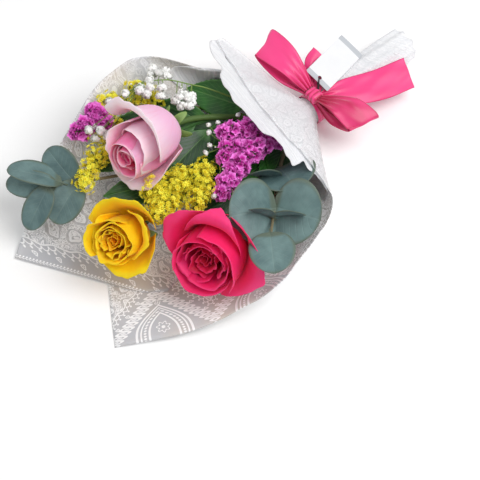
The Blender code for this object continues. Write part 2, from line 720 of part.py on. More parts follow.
RIBBON_RADIUS = RIGHT_RING + SHEET_WALL / 2 + CLEAR
KNOT_SIZE = Vector((15.0, 13.0, 10.0))
KNOT_CENTRE = Vector(
    (1.0, -1.0, TIE_HEIGHT + RIBBON_RADIUS + RIBBON_WALL + CLEAR + KNOT_SIZE.z / 2)
)
CARD_LENGTH, CARD_WIDTH, CARD_WALL = 62.0, 29.0, 0.8
CARD_NEAR = Vector((-7.6, 9.6, 42.5))      # middle of the card's end beside the knot
CARD_ALONG = Vector((-0.225, 0.97, -0.10)).normalized()
CARD_ACROSS = Vector((0.91, 0.18, -0.37))
CARD_ACROSS = (CARD_ACROSS - CARD_ALONG * CARD_ALONG.dot(CARD_ACROSS)).normalized()
CARD_NORMAL = CARD_ACROSS.cross(CARD_ALONG)
HOLE_RADIUS, HOLE_INSET = 2.0, 5.5
CORD_RADIUS = 0.6


def knot(name):
    """The soft square knot of the ribbon."""
    bm = bmesh.new()
    bmesh.ops.create_cube(bm, size=1.0)
    for vert in bm.verts:
        vert.co = Vector([a * b * MM for a, b in zip(vert.co, KNOT_SIZE)])
    obj = add_object(name, mesh_from(name, bm), SATIN, ROOT, KNOT_CENTRE)
    soft = obj.modifiers.new("soft", "BEVEL")
    soft.width = 2.6 * MM
    soft.segments = 2
    return obj


def ribbon_strip(name, route, across, widths, columns=3, rows=12):
    """A length of ribbon along a route, with its width's direction and size along it."""
    line, sides = smooth_route(route, 6), smooth_route(across, 6)
    spread = smooth_route([(w, 0, 0) for w in widths], 6)

    def place(u, v):
        at = v * (len(line) - 1)
        i = min(int(at), len(line) - 2)
        centre, side, width = (blend(r[i], r[i + 1], at - i) for r in (line, sides, spread))
        return centre + side.normalized() * (u - 0.5) * width.x

    return shaped_grid(name, columns, rows, place, RIBBON_WALL, SATIN)


def on_card(across, along, below):
    """A point under the card: mm from its long middle line, from its near end, and below it."""
    return CARD_NEAR + CARD_ACROSS * across + CARD_ALONG * along - CARD_NORMAL * below


def add_bow():
    """Two loops, a long tail and a short one, all starting at the knot."""
    x, y, z = KNOT_CENTRE
    side = KNOT_SIZE.x / 2 + CLEAR + 0.1
    back = KNOT_SIZE.y / 2 + CLEAR + 0.1
    pinched, flat = (0, -1, 0), (0.45, -0.89, 0.0)
    ribbon_strip(
        "bow_loop_left",
        [(x - side, y, z + 2.5), (x - 36, y - 3, z + 20), (x - 67, y - 6, z + 20),
         (x - 38, y - 5, z + 8), (x - side, y, z - 2.5)],
        [pinched, flat, flat, flat, pinched], [9, 26, RIBBON_WIDTH, 26, 9], rows=16)
    flat = (-0.25, -0.95, -0.1)
    ribbon_strip(
        "bow_loop_right",
        [(x + side, y, z + 2.5), (x + 34, y + 8, z + 12), (x + 58, y + 12, z + 4),
         (x + 34, y + 6, z - 4), (x + side, y, z - 2.5)],
        [pinched, flat, flat, flat, pinched], [9, 24, RIBBON_WIDTH - 3, 24, 9], rows=16)
    ribbon_strip(
        "ribbon_tail_long",
        [(x + 4, y + back, z - 2.5), (x + 14, y + 30, z - 6), (x + 26, y + 62, z - 10),
         (x + 33, y + 98, z - 13)],
        [(0.98, 0, 0), (0.94, -0.3, -0.15), (0.88, -0.40, -0.3), (0.84, -0.45, -0.33)],
        [7, 22, RIBBON_WIDTH, RIBBON_WIDTH])
    under = CARD_WALL / 2 + CLEAR + RIBBON_WALL / 2
    ribbon_strip(
        "ribbon_tail_short",
        [(x - 4.5, y + back, z - 2.5), on_card(-12, 14, under + 3.0), on_card(-14, 34, under)],
        [(0.98, 0, 0), CARD_ACROSS, CARD_ACROSS], [6, 12, 15], rows=8)


def add_card():
    """The card, and the elastic loop that runs through its hole to the back of the knot."""
    bm = bmesh.new()
    bmesh.ops.create_cube(bm, size=1.0)
    for vert in bm.verts:
        vert.co = Vector((vert.co.x * CARD_WIDTH, (vert.co.y + 0.5) * CARD_LENGTH,
                          vert.co.z * CARD_WALL)) * MM
    pose = Matrix((CARD_ACROSS, CARD_ALONG, CARD_NORMAL)).transposed()
    card = add_object("gift_card", mesh_from("gift_card", bm), CARD, ROOT, CARD_NEAR, pose)
    bm = bmesh.new()
    bmesh.ops.create_cone(bm, cap_ends=True, segments=16, radius1=HOLE_RADIUS * MM,
                          radius2=HOLE_RADIUS * MM, depth=4 * MM)
    punch = add_object("card_punch", mesh_from("card_punch", bm), None, card, (0, HOLE_INSET, 0))
    punch.hide_render = True
    punch.display_type = "WIRE"
    PIECES.objects.unlink(punch)
    HELPERS.objects.link(punch)
    hole = card.modifiers.new("hole", "BOOLEAN")
    hole.operation = "DIFFERENCE"
    hole.object = punch

    x, y, z = KNOT_CENTRE
    back, out = y + KNOT_SIZE.y / 2 + CLEAR + 0.2, CORD_RADIUS + CLEAR + CARD_WALL / 2
    loop = smooth_route(
        [(x - 1, back, z + 3), on_card(3, -1.5, -2.4), on_card(0.6, 2.4, -out - 0.6),
         on_card(0, HOLE_INSET, 0), on_card(0, 3.0, out + 0.8), (x - 2, back, z - 1)], 4)
    tube("card_elastic", loop, [CORD_RADIUS] * len(loop), ELASTIC)


def add_wrap():
    """Band, tissue, films and the ribbon round them."""
    ring_band("tie_band", BUNDLE_RADIUS, BAND_WALL, 10.0, BAND)
    tissue_sheet("tissue_sheet")
    film_sheet("film_sheet_left", LEFT_FILM_EDGE, LEFT_RING, LEFT_FLOOR)
    film_sheet("film_sheet_right", RIGHT_FILM_EDGE, RIGHT_RING, RIGHT_FLOOR)
    ring_band("ribbon_band", RIBBON_RADIUS, RIBBON_WALL, GATHERED_WIDTH, SATIN)
    knot("ribbon_knot")


add_roses()
add_rose_leaves()
add_eucalyptus()
add_sprays()
add_wrap()
add_bow()
add_card()
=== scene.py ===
"""The looks of a small hand-tied rose bouquet that lies on its back.

Three roses, two eucalyptus sprigs, goldenrod, statice and gypsophila stand in a wrap of printed
film and tissue that a satin ribbon closes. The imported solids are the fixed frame. Each class here
builds one sub-assembly around them and says which solids its pieces stand for.

Points are written in millimetres in the bouquet's own frame, whose origin is on the table right
below the middle of the tie. FRAME_SHIFT takes them to the frame that the solids are in.
"""

import logging
import math
from dataclasses import dataclass, field, replace
from enum import Enum
from functools import lru_cache
from typing import Callable, Iterable, Sequence

import bmesh
import bpy
import numpy as np
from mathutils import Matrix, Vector


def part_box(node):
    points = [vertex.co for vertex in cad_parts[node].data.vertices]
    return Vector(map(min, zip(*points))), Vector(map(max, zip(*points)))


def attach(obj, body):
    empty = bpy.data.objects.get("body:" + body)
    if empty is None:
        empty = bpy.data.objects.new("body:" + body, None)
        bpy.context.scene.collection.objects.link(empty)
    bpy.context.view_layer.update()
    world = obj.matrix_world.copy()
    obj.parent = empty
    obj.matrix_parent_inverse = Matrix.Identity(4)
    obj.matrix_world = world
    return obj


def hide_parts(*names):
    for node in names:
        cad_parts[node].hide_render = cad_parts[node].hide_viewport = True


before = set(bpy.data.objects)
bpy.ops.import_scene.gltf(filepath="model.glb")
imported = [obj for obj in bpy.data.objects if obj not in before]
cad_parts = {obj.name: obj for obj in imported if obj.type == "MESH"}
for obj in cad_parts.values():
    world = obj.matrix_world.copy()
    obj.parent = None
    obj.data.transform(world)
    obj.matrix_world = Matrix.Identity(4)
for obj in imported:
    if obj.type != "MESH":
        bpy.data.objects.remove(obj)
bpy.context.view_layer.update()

LOG = logging.getLogger("bouquet")
MM = 0.001
TIE_BOX = np.array(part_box("tie_band")) * 1000
FRAME_SHIFT = np.array([*TIE_BOX.mean(axis=0)[:2], 0.0])
ROOT = "root"
UV_MAP = "flat"
FULL_TURN = 2 * math.pi
RADIANS_ROUND = 6.2832
GOLDEN_ANGLE = math.radians(137.508)
TOWARDS_VIEWER = (0.38, -0.32, 0.87)
EDGE_ON = (-0.72, 0.62, 0.33)

Array = np.ndarray
Pair = tuple[float, float]
Colour = tuple[float, float, float]
Point = Sequence[float]
Material = bpy.types.Material
Socket = bpy.types.NodeSocket


class Slot(Enum):
    """The record's material slots."""

    PINK = "pink_petal"
    YELLOW = "yellow_petal"
    MAGENTA = "magenta_petal"
    STEM = "stem_green"
    LEAF = "leaf_green"
    EUCALYPTUS = "eucalyptus_leaf"
    GOLDENROD = "goldenrod"
    STATICE = "statice"
    GYPSOPHILA = "gypsophila"
    FILM = "printed_film"
    TISSUE = "tissue"
    SATIN = "satin_ribbon"
    CARD = "card"
    ELASTIC = "black_elastic"


class Wall:
    """How thick each kind of open sheet gets, in mm."""

    PETAL = LEAF = 0.45
    HEART = FILLER = 0.4
    CALYX = 0.6
    EUCALYPTUS = CARD = 0.55
    FILM = 0.25
    TISSUE = 0.2
    RIBBON = 0.3


class Hold(Enum):
    """How a sheet of cloth is held."""

    GATHERED = "gathered"
    FOLDED = "folded"


# -------- curves and numbers
def smooth_step(x: Array | float) -> Array:
    """0 to 1 with level ends, for x from 0 to 1."""
    x = np.clip(x, 0.0, 1.0)
    return x * x * (3 - 2 * x)


def blend(a: Array | float, b: Array | float, share: Array | float) -> Array:
    """What lies that share of the way from a to b."""
    return a + (b - a) * share


def unit(vector: Array) -> Array:
    """The vectors at length one."""
    return vector / np.maximum(np.linalg.norm(vector, axis=-1, keepdims=True), 1e-12)


def side_by_side(*parts: Array) -> Array:
    """Arrays of one size as the last axis of one array."""
    return np.stack(parts, axis=-1)


def around(turn: Array, out: Array | float, height: Array | float) -> Array:
    """Points round the z axis, from their turn in radians, distance and height."""
    return side_by_side(*np.broadcast_arrays(out * np.cos(turn), out * np.sin(turn), height))


def steps_along(route: Array) -> Array:
    """The length of each step between the points of a route."""
    return np.linalg.norm(np.diff(route, axis=0), axis=1)


def way_along(route: Array) -> Array:
    """The length from the start of a route to each of its points."""
    return np.append(0, np.cumsum(steps_along(route)))


def frame_towards(axis: Point, up: Point = (0, 0, 1)) -> Array:
    """A frame that looks along an axis, as columns x, y and z.

    Args:
        axis: the direction of its z.
        up: the direction that its y comes as near to as it can.

    Returns:
        The three by three matrix.
    """
    z = unit(np.array(axis, float))
    x = unit(np.cross(np.array(up, float), z))
    return side_by_side(x, np.cross(z, x), z)


def smooth_route(points: Sequence[Point], steps: int) -> Array:
    """Points on a smooth curve through the given ones.

    Args:
        points: the points or rows of numbers that the curve goes through.
        steps: how many points each span gets.

    Returns:
        One row for each point of the curve.
    """
    given = np.array(points, float)
    padded = np.vstack([2 * given[0] - given[1], given, 2 * given[-1] - given[-2]])
    t = np.linspace(0, 1, steps, endpoint=False)[:, None]
    spans = [
        0.5 * (2 * b + (c - a) * t + (2 * a - 5 * b + 4 * c - d) * t**2
               + (3 * b - a - 3 * c + d) * t**3)
        for a, b, c, d in zip(padded, padded[1:], padded[2:], padded[3:])
    ]
    return np.vstack([*spans, given[-1:]])


def waves(x: Array, y: Array, seed: float) -> Array:
    """A smooth irregular ripple, the same on each run.

    Args:
        x: one way over the surface.
        y: the other way.
        seed: what makes two ripples differ.

    Returns:
        Numbers between about -1 and 1.
    """
    total = np.sin(1.7 * x + 2.3 * seed) * np.cos(1.1 * y + 1.9 * seed)
    total += 0.6 * np.sin(3.1 * x - 1.3 * y + 4.1 * seed)
    total += 0.4 * np.sin(5.3 * x + 2.9 * y + 0.7 * seed)
    return total / 1.7


def sphere_spread(count: int) -> Array:
    """Directions spread evenly over a sphere.

    Args:
        count: how many.

    Returns:
        One unit vector in each row.
    """
    k = np.arange(count) + 0.5
    z = 1 - 2 * k / count
    ring = np.sqrt(1 - z * z)
    return side_by_side(ring * np.cos(GOLDEN_ANGLE * k), ring * np.sin(GOLDEN_ANGLE * k), z)


# -------- meshes
WELD_REACH = 1e-6
SHORTEST_EDGE = 1e-7


@dataclass
class Shape:
    """Points in mm, faces as index tuples, and a UV pair and a tone for each point."""

    points: Array
    faces: list[tuple[int, ...]]
    uv: Array
    tone: Array

    @staticmethod
    def grid(points: Array, uv: Array | None = None, tone: float | Array = 0.5) -> "Shape":
        """A sheet of quads.

        Args:
            points: rows by columns by three.
            uv: rows by columns by two; from 0 to 1 each way if not given.
            tone: one tone, or one for each point.

        Returns:
            The shape, with u across the columns and v along the rows.
        """
        rows, columns = points.shape[:2]
        if uv is None:
            u, v = np.meshgrid(np.linspace(0, 1, columns), np.linspace(0, 1, rows))
            uv = side_by_side(u, v)
        index = np.arange(rows * columns).reshape(rows, columns)
        quads = side_by_side(index[:-1, :-1], index[:-1, 1:], index[1:, 1:], index[1:, :-1])
        tones = np.broadcast_to(np.asarray(tone, float), (rows, columns)).reshape(-1)
        faces = [tuple(face) for face in quads.reshape(-1, 4).tolist()]
        return Shape(points.reshape(-1, 3), faces, uv.reshape(-1, 2), np.array(tones))

    @staticmethod
    def joined(shapes: Iterable["Shape"]) -> "Shape":
        """Several shapes as one.

        Args:
            shapes: the shapes.

        Returns:
            One shape with all their points and faces.
        """
        kept = list(shapes)
        starts = np.cumsum([0] + [len(shape.points) for shape in kept])
        faces = [
            tuple(i + int(start) for i in face) for shape, start in zip(kept, starts) for face in shape.faces
        ]
        return Shape(
            np.vstack([shape.points for shape in kept]), faces,
            np.vstack([shape.uv for shape in kept]), np.concatenate([shape.tone for shape in kept]),
        )

    def placed(self, frames: Array, origins: Array, sizes: Array, tones: Array) -> "Shape":
        """Copies of this shape.

        Args:
            frames: one three by three matrix of columns for each copy.
            origins: one point for each copy.
            sizes: one scale for each copy.
            tones: one tone for each copy, added to the shape's own.

        Returns:
            All copies as one shape.
        """
        points = np.einsum("nij,pj->npi", frames, self.points) * sizes[:, None, None] + origins[:, None, :]
        count, size = points.shape[:2]
        faces = [tuple(i + k * size for i in face) for k in range(count) for face in self.faces]
        tone = np.clip(self.tone[None, :] + tones[:, None], 0, 1).reshape(-1)
        return Shape(points.reshape(-1, 3), faces, np.tile(self.uv, (count, 1)), tone)


def sweep(route: Array, radii: Sequence[float] | float, sides: int = 10, tone: float = 0.5) -> Shape:
    """A round bar along a route, with closed ends.

    Args:
        route: the points of its middle line.
        radii: one radius, or one for each point.
        sides: how many faces go round it.
        tone: its tone.

    Returns:
        The bar, with v in mm along it.
    """
    ahead = unit(np.gradient(route, axis=0))
    radius = np.broadcast_to(np.asarray(radii, float), (len(route),))
    turn = np.linspace(0, 2 * math.pi, sides + 1)[:, None]
    side = unit(np.cross(ahead[0], (0.31, 0.12, 0.94)))
    rings = []
    for point, along, size in zip(route, ahead, radius):
        side = unit(side - along * side.dot(along))
        rings.append(point + size * (np.cos(turn) * side + np.sin(turn) * np.cross(along, side)))
    ends = [np.repeat(route[i][None, :], sides + 1, axis=0) for i in (0, -1)]
    points = np.stack([ends[0], *rings, ends[1]])
    far = way_along(route)
    u, v = np.meshgrid(np.linspace(0, 1, sides + 1), np.concatenate([far[:1], far, far[-1:]]))
    return Shape.grid(points, side_by_side(u, v), tone)


def added(name: str, data: bpy.types.ID) -> bpy.types.Object:
    """A new object in the scene.

    Args:
        name: its name.
        data: its mesh, light or camera.

    Returns:
        The object.
    """
    made = bpy.data.objects.new(name, data)
    bpy.context.scene.collection.objects.link(made)
    return made


def make_piece(
    name: str, shape: Shape, material: Material, replaces: Sequence[str] = (),
    wall: float = 0.0, weld: bool = True, bevel: float = 0.0,
) -> bpy.types.Object:
    """One mesh object that rides on the bouquet's body.

    Args:
        name: the object's name.
        shape: its points in mm in the bouquet's frame, with faces, UVs and tones.
        material: its finish.
        replaces: the solids that it stands for.
        wall: the thickness in mm that an open sheet gets.
        weld: whether points that fall together become one.
        bevel: the width in mm of the round on its sharp edges.

    Returns:
        The object, with its mesh in the frame of the solids, in metres.
    """
    mesh = bpy.data.meshes.new(name)
    mesh.from_pydata(((shape.points + FRAME_SHIFT) * MM).tolist(), [], shape.faces)
    corners = np.empty(len(mesh.loops), np.int32)
    mesh.loops.foreach_get("vertex_index", corners)
    layer = mesh.uv_layers.new(name=UV_MAP)
    layer.data.foreach_set("uv", shape.uv[corners].astype(np.float32).reshape(-1))
    tone = mesh.attributes.new("tone", "FLOAT", "POINT")
    tone.data.foreach_set("value", shape.tone.astype(np.float32))
    if weld:
        bm = bmesh.new()
        bm.from_mesh(mesh)
        bmesh.ops.remove_doubles(bm, verts=bm.verts, dist=WELD_REACH)
        bmesh.ops.dissolve_degenerate(bm, edges=bm.edges, dist=SHORTEST_EDGE)
        bm.to_mesh(mesh)
        bm.free()
    mesh.shade_smooth()
    mesh.materials.append(material)
    piece = added(name, mesh)
    if wall:
        thickness = piece.modifiers.new("thickness", "SOLIDIFY")
        thickness.thickness = wall * MM
        thickness.offset = 0.0
        thickness.use_even_offset = False
    if bevel:
        soft = piece.modifiers.new("soft", "BEVEL")
        soft.width = bevel * MM
        soft.segments = 2
    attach(piece, ROOT)
    if replaces:
        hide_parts(*replaces)
    LOG.info("%s: %d faces, stands for %s", name, len(shape.faces), ", ".join(replaces) or "no solid")
    return piece


# -------- shader nodes
def linear(value: int) -> float:
    """A display value from 0 to 255 as a share of light."""
    share = value / 255
    return share / 12.92 if share <= 0.04045 else ((share + 0.055) / 1.055) ** 2.4


def tints(*codes: int) -> list[Colour]:
    """The linear colours of display colours, each written as 0xRRGGBB."""
    return [(linear(code >> 16), linear(code >> 8 & 255), linear(code & 255)) for code in codes]


def math_method(operation: str, turned: bool = False) -> Callable[..., "Num"]:
    """Makes a method of Num that adds one math node.

    Args:
        operation: the node's operation.
        turned: whether its two numbers change places.

    Returns:
        The method.
    """

    def method(self: "Num", *others: "Num | float") -> "Num":
        """The node's result."""
        values = (self, *others)
        return self.board.math(operation, *(values[::-1] if turned else values))

    return method


class Num:
    """A number that changes over a surface. Arithmetic on it adds math nodes."""

    __add__ = __radd__ = math_method("ADD")
    __sub__ = math_method("SUBTRACT")
    __rsub__ = math_method("SUBTRACT", turned=True)
    __mul__ = __rmul__ = math_method("MULTIPLY")
    __truediv__ = math_method("DIVIDE")
    __pow__ = math_method("POWER")
    abs = math_method("ABSOLUTE")
    sin = math_method("SINE")
    floor = math_method("FLOOR")
    min = math_method("MINIMUM")
    max = math_method("MAXIMUM")

    def __init__(self, board: "Board", socket: Socket) -> None:
        """Holds a socket of the board's node tree."""
        self.board = board
        self.socket = socket

    def zigzag(self, period: float) -> "Num":
        """Its distance from the nearest multiple of the period."""
        return self.board.math("PINGPONG", self, period / 2)

    def centred(self, period: float) -> "Num":
        """Its place in a cell of that period, from minus half to plus half of it."""
        return self.board.math("WRAP", self, period / 2, -period / 2)

    def ramp(self, low: float, high: float) -> "Num":
        """0 at low and 1 at high, smooth between them."""
        return self.board.ramp(self, low, high)

    def line(self, width: float) -> "Num":
        """1 where it is near zero, in a stroke of that width."""
        return self.abs().ramp(0.62 * width, 0.38 * width)


Given = dict[str, Num | Socket]


class Board:
    """A node tree, with short calls for the nodes that the finishes need."""

    def __init__(self, tree: bpy.types.NodeTree) -> None:
        """Works on that tree."""
        self.tree = tree

    def node(
        self, kind: str, inputs: dict[str | int, object] | None = None, **settings: object,
    ) -> bpy.types.Node:
        """Adds a node.

        Args:
            kind: its type's name after ShaderNode.
            inputs: values for its inputs, by name or number.
            settings: values for its properties.

        Returns:
            The node.
        """
        made = self.tree.nodes.new("ShaderNode" + kind)
        for name, value in settings.items():
            setattr(made, name, value)
        for name, value in (inputs or {}).items():
            self.put(made.inputs[name], value)
        return made

    def put(self, socket: Socket, value: object) -> None:
        """Gives an input its value.

        Args:
            socket: the input.
            value: a number, a colour, or what to link to it.
        """
        if isinstance(value, Num):
            value = value.socket
        if isinstance(value, Socket):
            self.tree.links.new(value, socket)
        elif isinstance(value, tuple) and socket.type == "RGBA":
            socket.default_value = (*value[:3], 1.0)
        else:
            socket.default_value = value

    def math(self, operation: str, *values: "Num | float") -> Num:
        """A math node of those values."""
        return Num(self, self.node("Math", dict(enumerate(values)), operation=operation).outputs[0])

    def ramp(self, value: Num, low: float, high: float) -> Num:
        """A smooth step of the value, from 0 at low to 1 at high."""
        given = dict(enumerate((value, high, low, 1.0, 0.0) if low > high else (value, low, high, 0.0, 1.0)))
        return Num(self, self.node("MapRange", given, interpolation_type="SMOOTHSTEP").outputs[0])

    def flat(self) -> Socket:
        """The piece's own UV pair."""
        return self.node("UVMap", uv_map=UV_MAP).outputs["UV"]

    def split(self, vector: object) -> tuple[Num, Num]:
        """The first two parts of a vector."""
        made = self.node("SeparateXYZ", {0: vector})
        return Num(self, made.outputs[0]), Num(self, made.outputs[1])

    def vector(self, x: "Num | float", y: "Num | float", z: "Num | float" = 0.0) -> Socket:
        """A vector of three numbers."""
        return self.node("CombineXYZ", {0: x, 1: y, 2: z}).outputs[0]

    def tone(self) -> Num:
        """The tone of each point."""
        return Num(self, self.node("Attribute", attribute_name="tone").outputs["Fac"])

    def place(self) -> Socket:
        """The place on the piece, in metres."""
        return self.node("TexCoord").outputs["Object"]

    def noise(self, vector: object, scale: float, detail: float = 3.0, rough: float = 0.55) -> Num:
        """Soft irregular noise around 0.5."""
        values = {"Vector": vector, "Scale": scale, "Detail": detail, "Roughness": rough}
        return Num(self, self.node("TexNoise", values).outputs[0])

    def mix(self, share: "Num | float", low: object, high: object) -> Socket:
        """The colour that share of the way from low to high."""
        return self.node("Mix", {0: share, 6: low, 7: high}, data_type="RGBA").outputs[2]

    def named(self, sockets: Iterable[Socket]) -> Given:
        """Sockets by name, with numbers ready for arithmetic."""
        return {s.name: Num(self, s) if s.type == "VALUE" else s for s in sockets if s.name}

    def group(self, tree: bpy.types.NodeTree, **values: object) -> Given:
        """The outputs of a placed node group with its inputs set."""
        return self.named(self.node("Group", values, node_tree=tree).outputs)


Fill = Callable[[Board, Given], Given]
MadeGroup = Callable[[], bpy.types.NodeTree]


def shader_group(inputs: dict[str, str], outputs: dict[str, str]) -> Callable[[Fill], MadeGroup]:
    """Turns a function that fills a board into one that gives its group, which is built once.

    Args:
        inputs: the group's input sockets' names and types, as Float, Color or Vector.
        outputs: its output sockets' names and types.

    Returns:
        The decorator.
    """

    def decorate(fill: Fill) -> MadeGroup:
        """Makes the function that gives the group.

        Args:
            fill: the function that fills the board and gives the outputs.

        Returns:
            The function.
        """

        @lru_cache
        def group() -> bpy.types.NodeTree:
            """Builds the group.

            Returns:
                Its node tree.
            """
            tree = bpy.data.node_groups.new(fill.__name__, "ShaderNodeTree")
            for way, sockets in (("INPUT", inputs), ("OUTPUT", outputs)):
                for socket, kind in sockets.items():
                    tree.interface.new_socket(socket, in_out=way, socket_type="NodeSocket" + kind)
            board = Board(tree)
            source = tree.nodes.new("NodeGroupInput")
            sink = tree.nodes.new("NodeGroupOutput")
            for socket, value in fill(board, board.named(source.outputs)).items():
                board.put(sink.inputs[socket], value)
            return tree

        return group

    return decorate


@shader_group(
    {"Flat": "Vector", "Tone": "Float"} | dict.fromkeys(("Body", "Heart", "Claw", "Margin"), "Color"),
    {"Color": "Color", "Height": "Float"},
)
def petal_flesh(b: Board, given: Given) -> Given:
    """The colour and fine veins of a petal, from its place on the petal and its tone. A higher tone paints in
    more of the heart colour, as painted shade of the flower's inner crevices, and a tone near 0 paints an
    outer petal paler, as a painted highlight.

    Args:
        b: the group's board.
        given: the group's inputs.

    Returns:
        The group's outputs.
    """
    u, v = b.split(given["Flat"])
    tone = given["Tone"]
    side = (u - 0.5).abs()
    fan = (u - 0.5) / (v * 0.8 + 0.25)
    blotch = b.noise(b.vector(u * 2.2, v * 1.4, tone * 7.0), 2.2, 3.0)
    veins = b.noise(b.vector(fan * 26.0, v * 1.6, tone * 5.0), 1.0, 2.0)
    margin = (v + side * 0.3 + (blotch - 0.5) * 0.10).ramp(0.86, 1.02)
    # Painted shade: the tone mixes the body towards the heart colour, more on the inner petals and towards
    # each root.
    body = b.mix((tone + (blotch - 0.5) * 0.5).ramp(0.15, 0.95), given["Body"], given["Heart"])
    # Painted highlight: outer petals with a tone near 0 are painted paler, towards the margin colour.
    body = b.mix(tone.ramp(0.12, 0.0) * 0.6, body, given["Margin"])
    body = b.mix((veins - 0.45).ramp(0.0, 0.5) * 0.22, body, given["Heart"])
    body = b.mix((v + (blotch - 0.5) * 0.2).ramp(0.34, 0.02), body, given["Claw"])
    body = b.mix(margin * (1 - tone * 0.65), body, given["Margin"])
    return {"Color": body, "Height": veins * 0.6 + blotch * 0.4}


@shader_group(
    {"Flat": "Vector", "Count": "Float", "Lean": "Float"},
    {"Mask": "Float", "Height": "Float", "Net": "Float"},
)
def leaf_veins(b: Board, given: Given) -> Given:
    """A leaf's midrib and side veins, as a mask and a height.

    Args:
        b: the group's board.
        given: the group's inputs.

    Returns:
        The group's outputs.
    """
    u, v = b.split(given["Flat"])
    side = (u - 0.5).abs()
    rib = side.ramp(0.030, 0.006)
    wave = (v - side * given["Lean"]) * given["Count"]
    vein = wave.zigzag(1.0).ramp(0.10, 0.015) * side.ramp(0.5, 0.30)
    net = b.noise(b.vector(u * 14.0, v * 18.0), 1.6, 4.0, 0.7)
    mask = rib.max(vein * 0.6)
    return {"Mask": mask, "Height": net * 0.35 - mask * 0.8 + side * 0.6, "Net": net}


@shader_group({"Place": "Vector", "Dark": "Color", "Light": "Color"}, {"Color": "Color", "Grain": "Float"})
def mottle(b: Board, given: Given) -> Given:
    """Irregular light and dark over a surface, and a fine grain.

    Args:
        b: the group's board.
        given: the group's inputs.

    Returns:
        The group's outputs.
    """
    broad = b.noise(given["Place"], 90.0, 3.0)
    fine = b.noise(given["Place"], 900.0, 3.0, 0.7)
    tint = b.mix((broad * 0.75 + fine * 0.25).ramp(0.30, 0.70), given["Dark"], given["Light"])
    return {"Color": tint, "Grain": fine}


@shader_group({"Flat": "Vector", "Pitch": "Float"}, {"Height": "Float"})
def thread_weave(b: Board, given: Given) -> Given:
    """Crossed threads over a flat sheet in metres, as a height.

    Args:
        b: the group's board.
        given: the group's inputs.

    Returns:
        The group's outputs.
    """
    u, v = b.split(given["Flat"])
    pitch = given["Pitch"]
    across = ((u / pitch) * RADIANS_ROUND).sin()
    along = ((v / pitch) * RADIANS_ROUND + (u / pitch).floor() * 2.1).sin()
    return {"Height": across * 0.35 + along * 0.5 + 0.5}


@shader_group({"Flat": "Vector", "Creases": "Float"}, {"Height": "Float"})
def crinkle(b: Board, given: Given) -> Given:
    """The creases of a thin sheet, as a height.

    Args:
        b: the group's board.
        given: the group's inputs.

    Returns:
        The group's outputs.
    """
    u, v = b.split(given["Flat"])
    stretched = b.vector(u * 3.0, v * 0.8)
    soft = b.noise(stretched, 26.0, 3.0)
    creases = (b.noise(given["Flat"], 60.0, 4.0, 0.6) - 0.5).abs().ramp(0.09, 0.0)
    return {"Height": soft * 0.8 + creases * given["Creases"]}


def far_from(x: Num, y: Num) -> Num:
    """The distance from the middle of a figure."""
    return (x * x + y * y) ** 0.5


def flower(b: Board, x: Num, y: Num, radius: float, lobes: float, width: float) -> Num:
    """A ring of petals round a dot.

    Args:
        b: the board.
        x: mm across from its middle.
        y: mm up from its middle.
        radius: the ring's radius.
        lobes: how many petals.
        width: the stroke's width.

    Returns:
        1 on its lines.
    """
    far = far_from(x, y)
    petals = far - (b.math("ARCTAN2", y, x) * lobes).sin() * (0.22 * radius)
    return (petals - radius).line(width).max(far.ramp(0.42 * radius, 0.22 * radius))


def paisley(b: Board, x: Num, y: Num, size: float) -> Num:
    """A bent drop in a double line with a row of beads and a flower in its belly.

    Args:
        b: the board.
        x: mm across from its middle.
        y: mm up from its middle.
        size: its half length.

    Returns:
        1 on its lines.
    """
    bent = x - y * y * (0.24 / size)
    low = y + size * 0.2
    drop = (bent * bent * 1.5 + low * low * 0.5) ** 0.5 - (y * 0.36 + size * 0.62).max(0.3) * 0.66
    beads = (drop + 1.5).line(1.1) * (b.math("ARCTAN2", low, bent) * 9.0).sin().ramp(-0.2, 0.3)
    strokes = drop.line(1.5).max((drop + 3.0).line(1.1)).max(beads)
    return strokes.max(flower(b, bent, low, 0.22 * size, 5.0, 0.8))


def border(b: Board, x: Num, y: Num, outside: Num, along: Num, bay: float) -> Num:
    """A chain of slanted seed-shaped links, and an onion arch with beads in each bay.

    Args:
        b: the board.
        x: mm along the edge.
        y: mm in from the edge.
        outside: mm inward from the zigzag.
        along: mm along the zigzag.
        bay: the width of one bay.

    Returns:
        1 on its lines.
    """
    link = far_from((along + outside * 0.95).centred(5.8) / 2.3, outside / 4.4)
    braid = (link - 1.0).line(0.56).max(link.ramp(0.50, 0.30))
    middle = (x - bay / 2).centred(bay)
    rise = (y / 37.0).max(0.0).min(1.0)
    half = (rise * 3.6).sin() * 6.5 + (1 - rise) * 26.0
    arch = (middle.abs() - half) * 0.8
    lines = arch.line(1.8).max((arch + 3.2).line(1.2)).max((arch + 9.5).line(1.6))
    beads = ((y.centred(3.0)) ** 2.0 + (arch + 6.2) ** 2.0).ramp(1.5, 0.7)
    crown = flower(b, middle, y - 38.5, 2.4, 4.0, 1.0)
    heart = flower(b, middle, y - 9.0, 5.2, 7.0, 1.0)
    inside = outside.ramp(-5.5, -6.5)
    return braid.max(lines.max(beads).max(crown).max(heart) * inside)


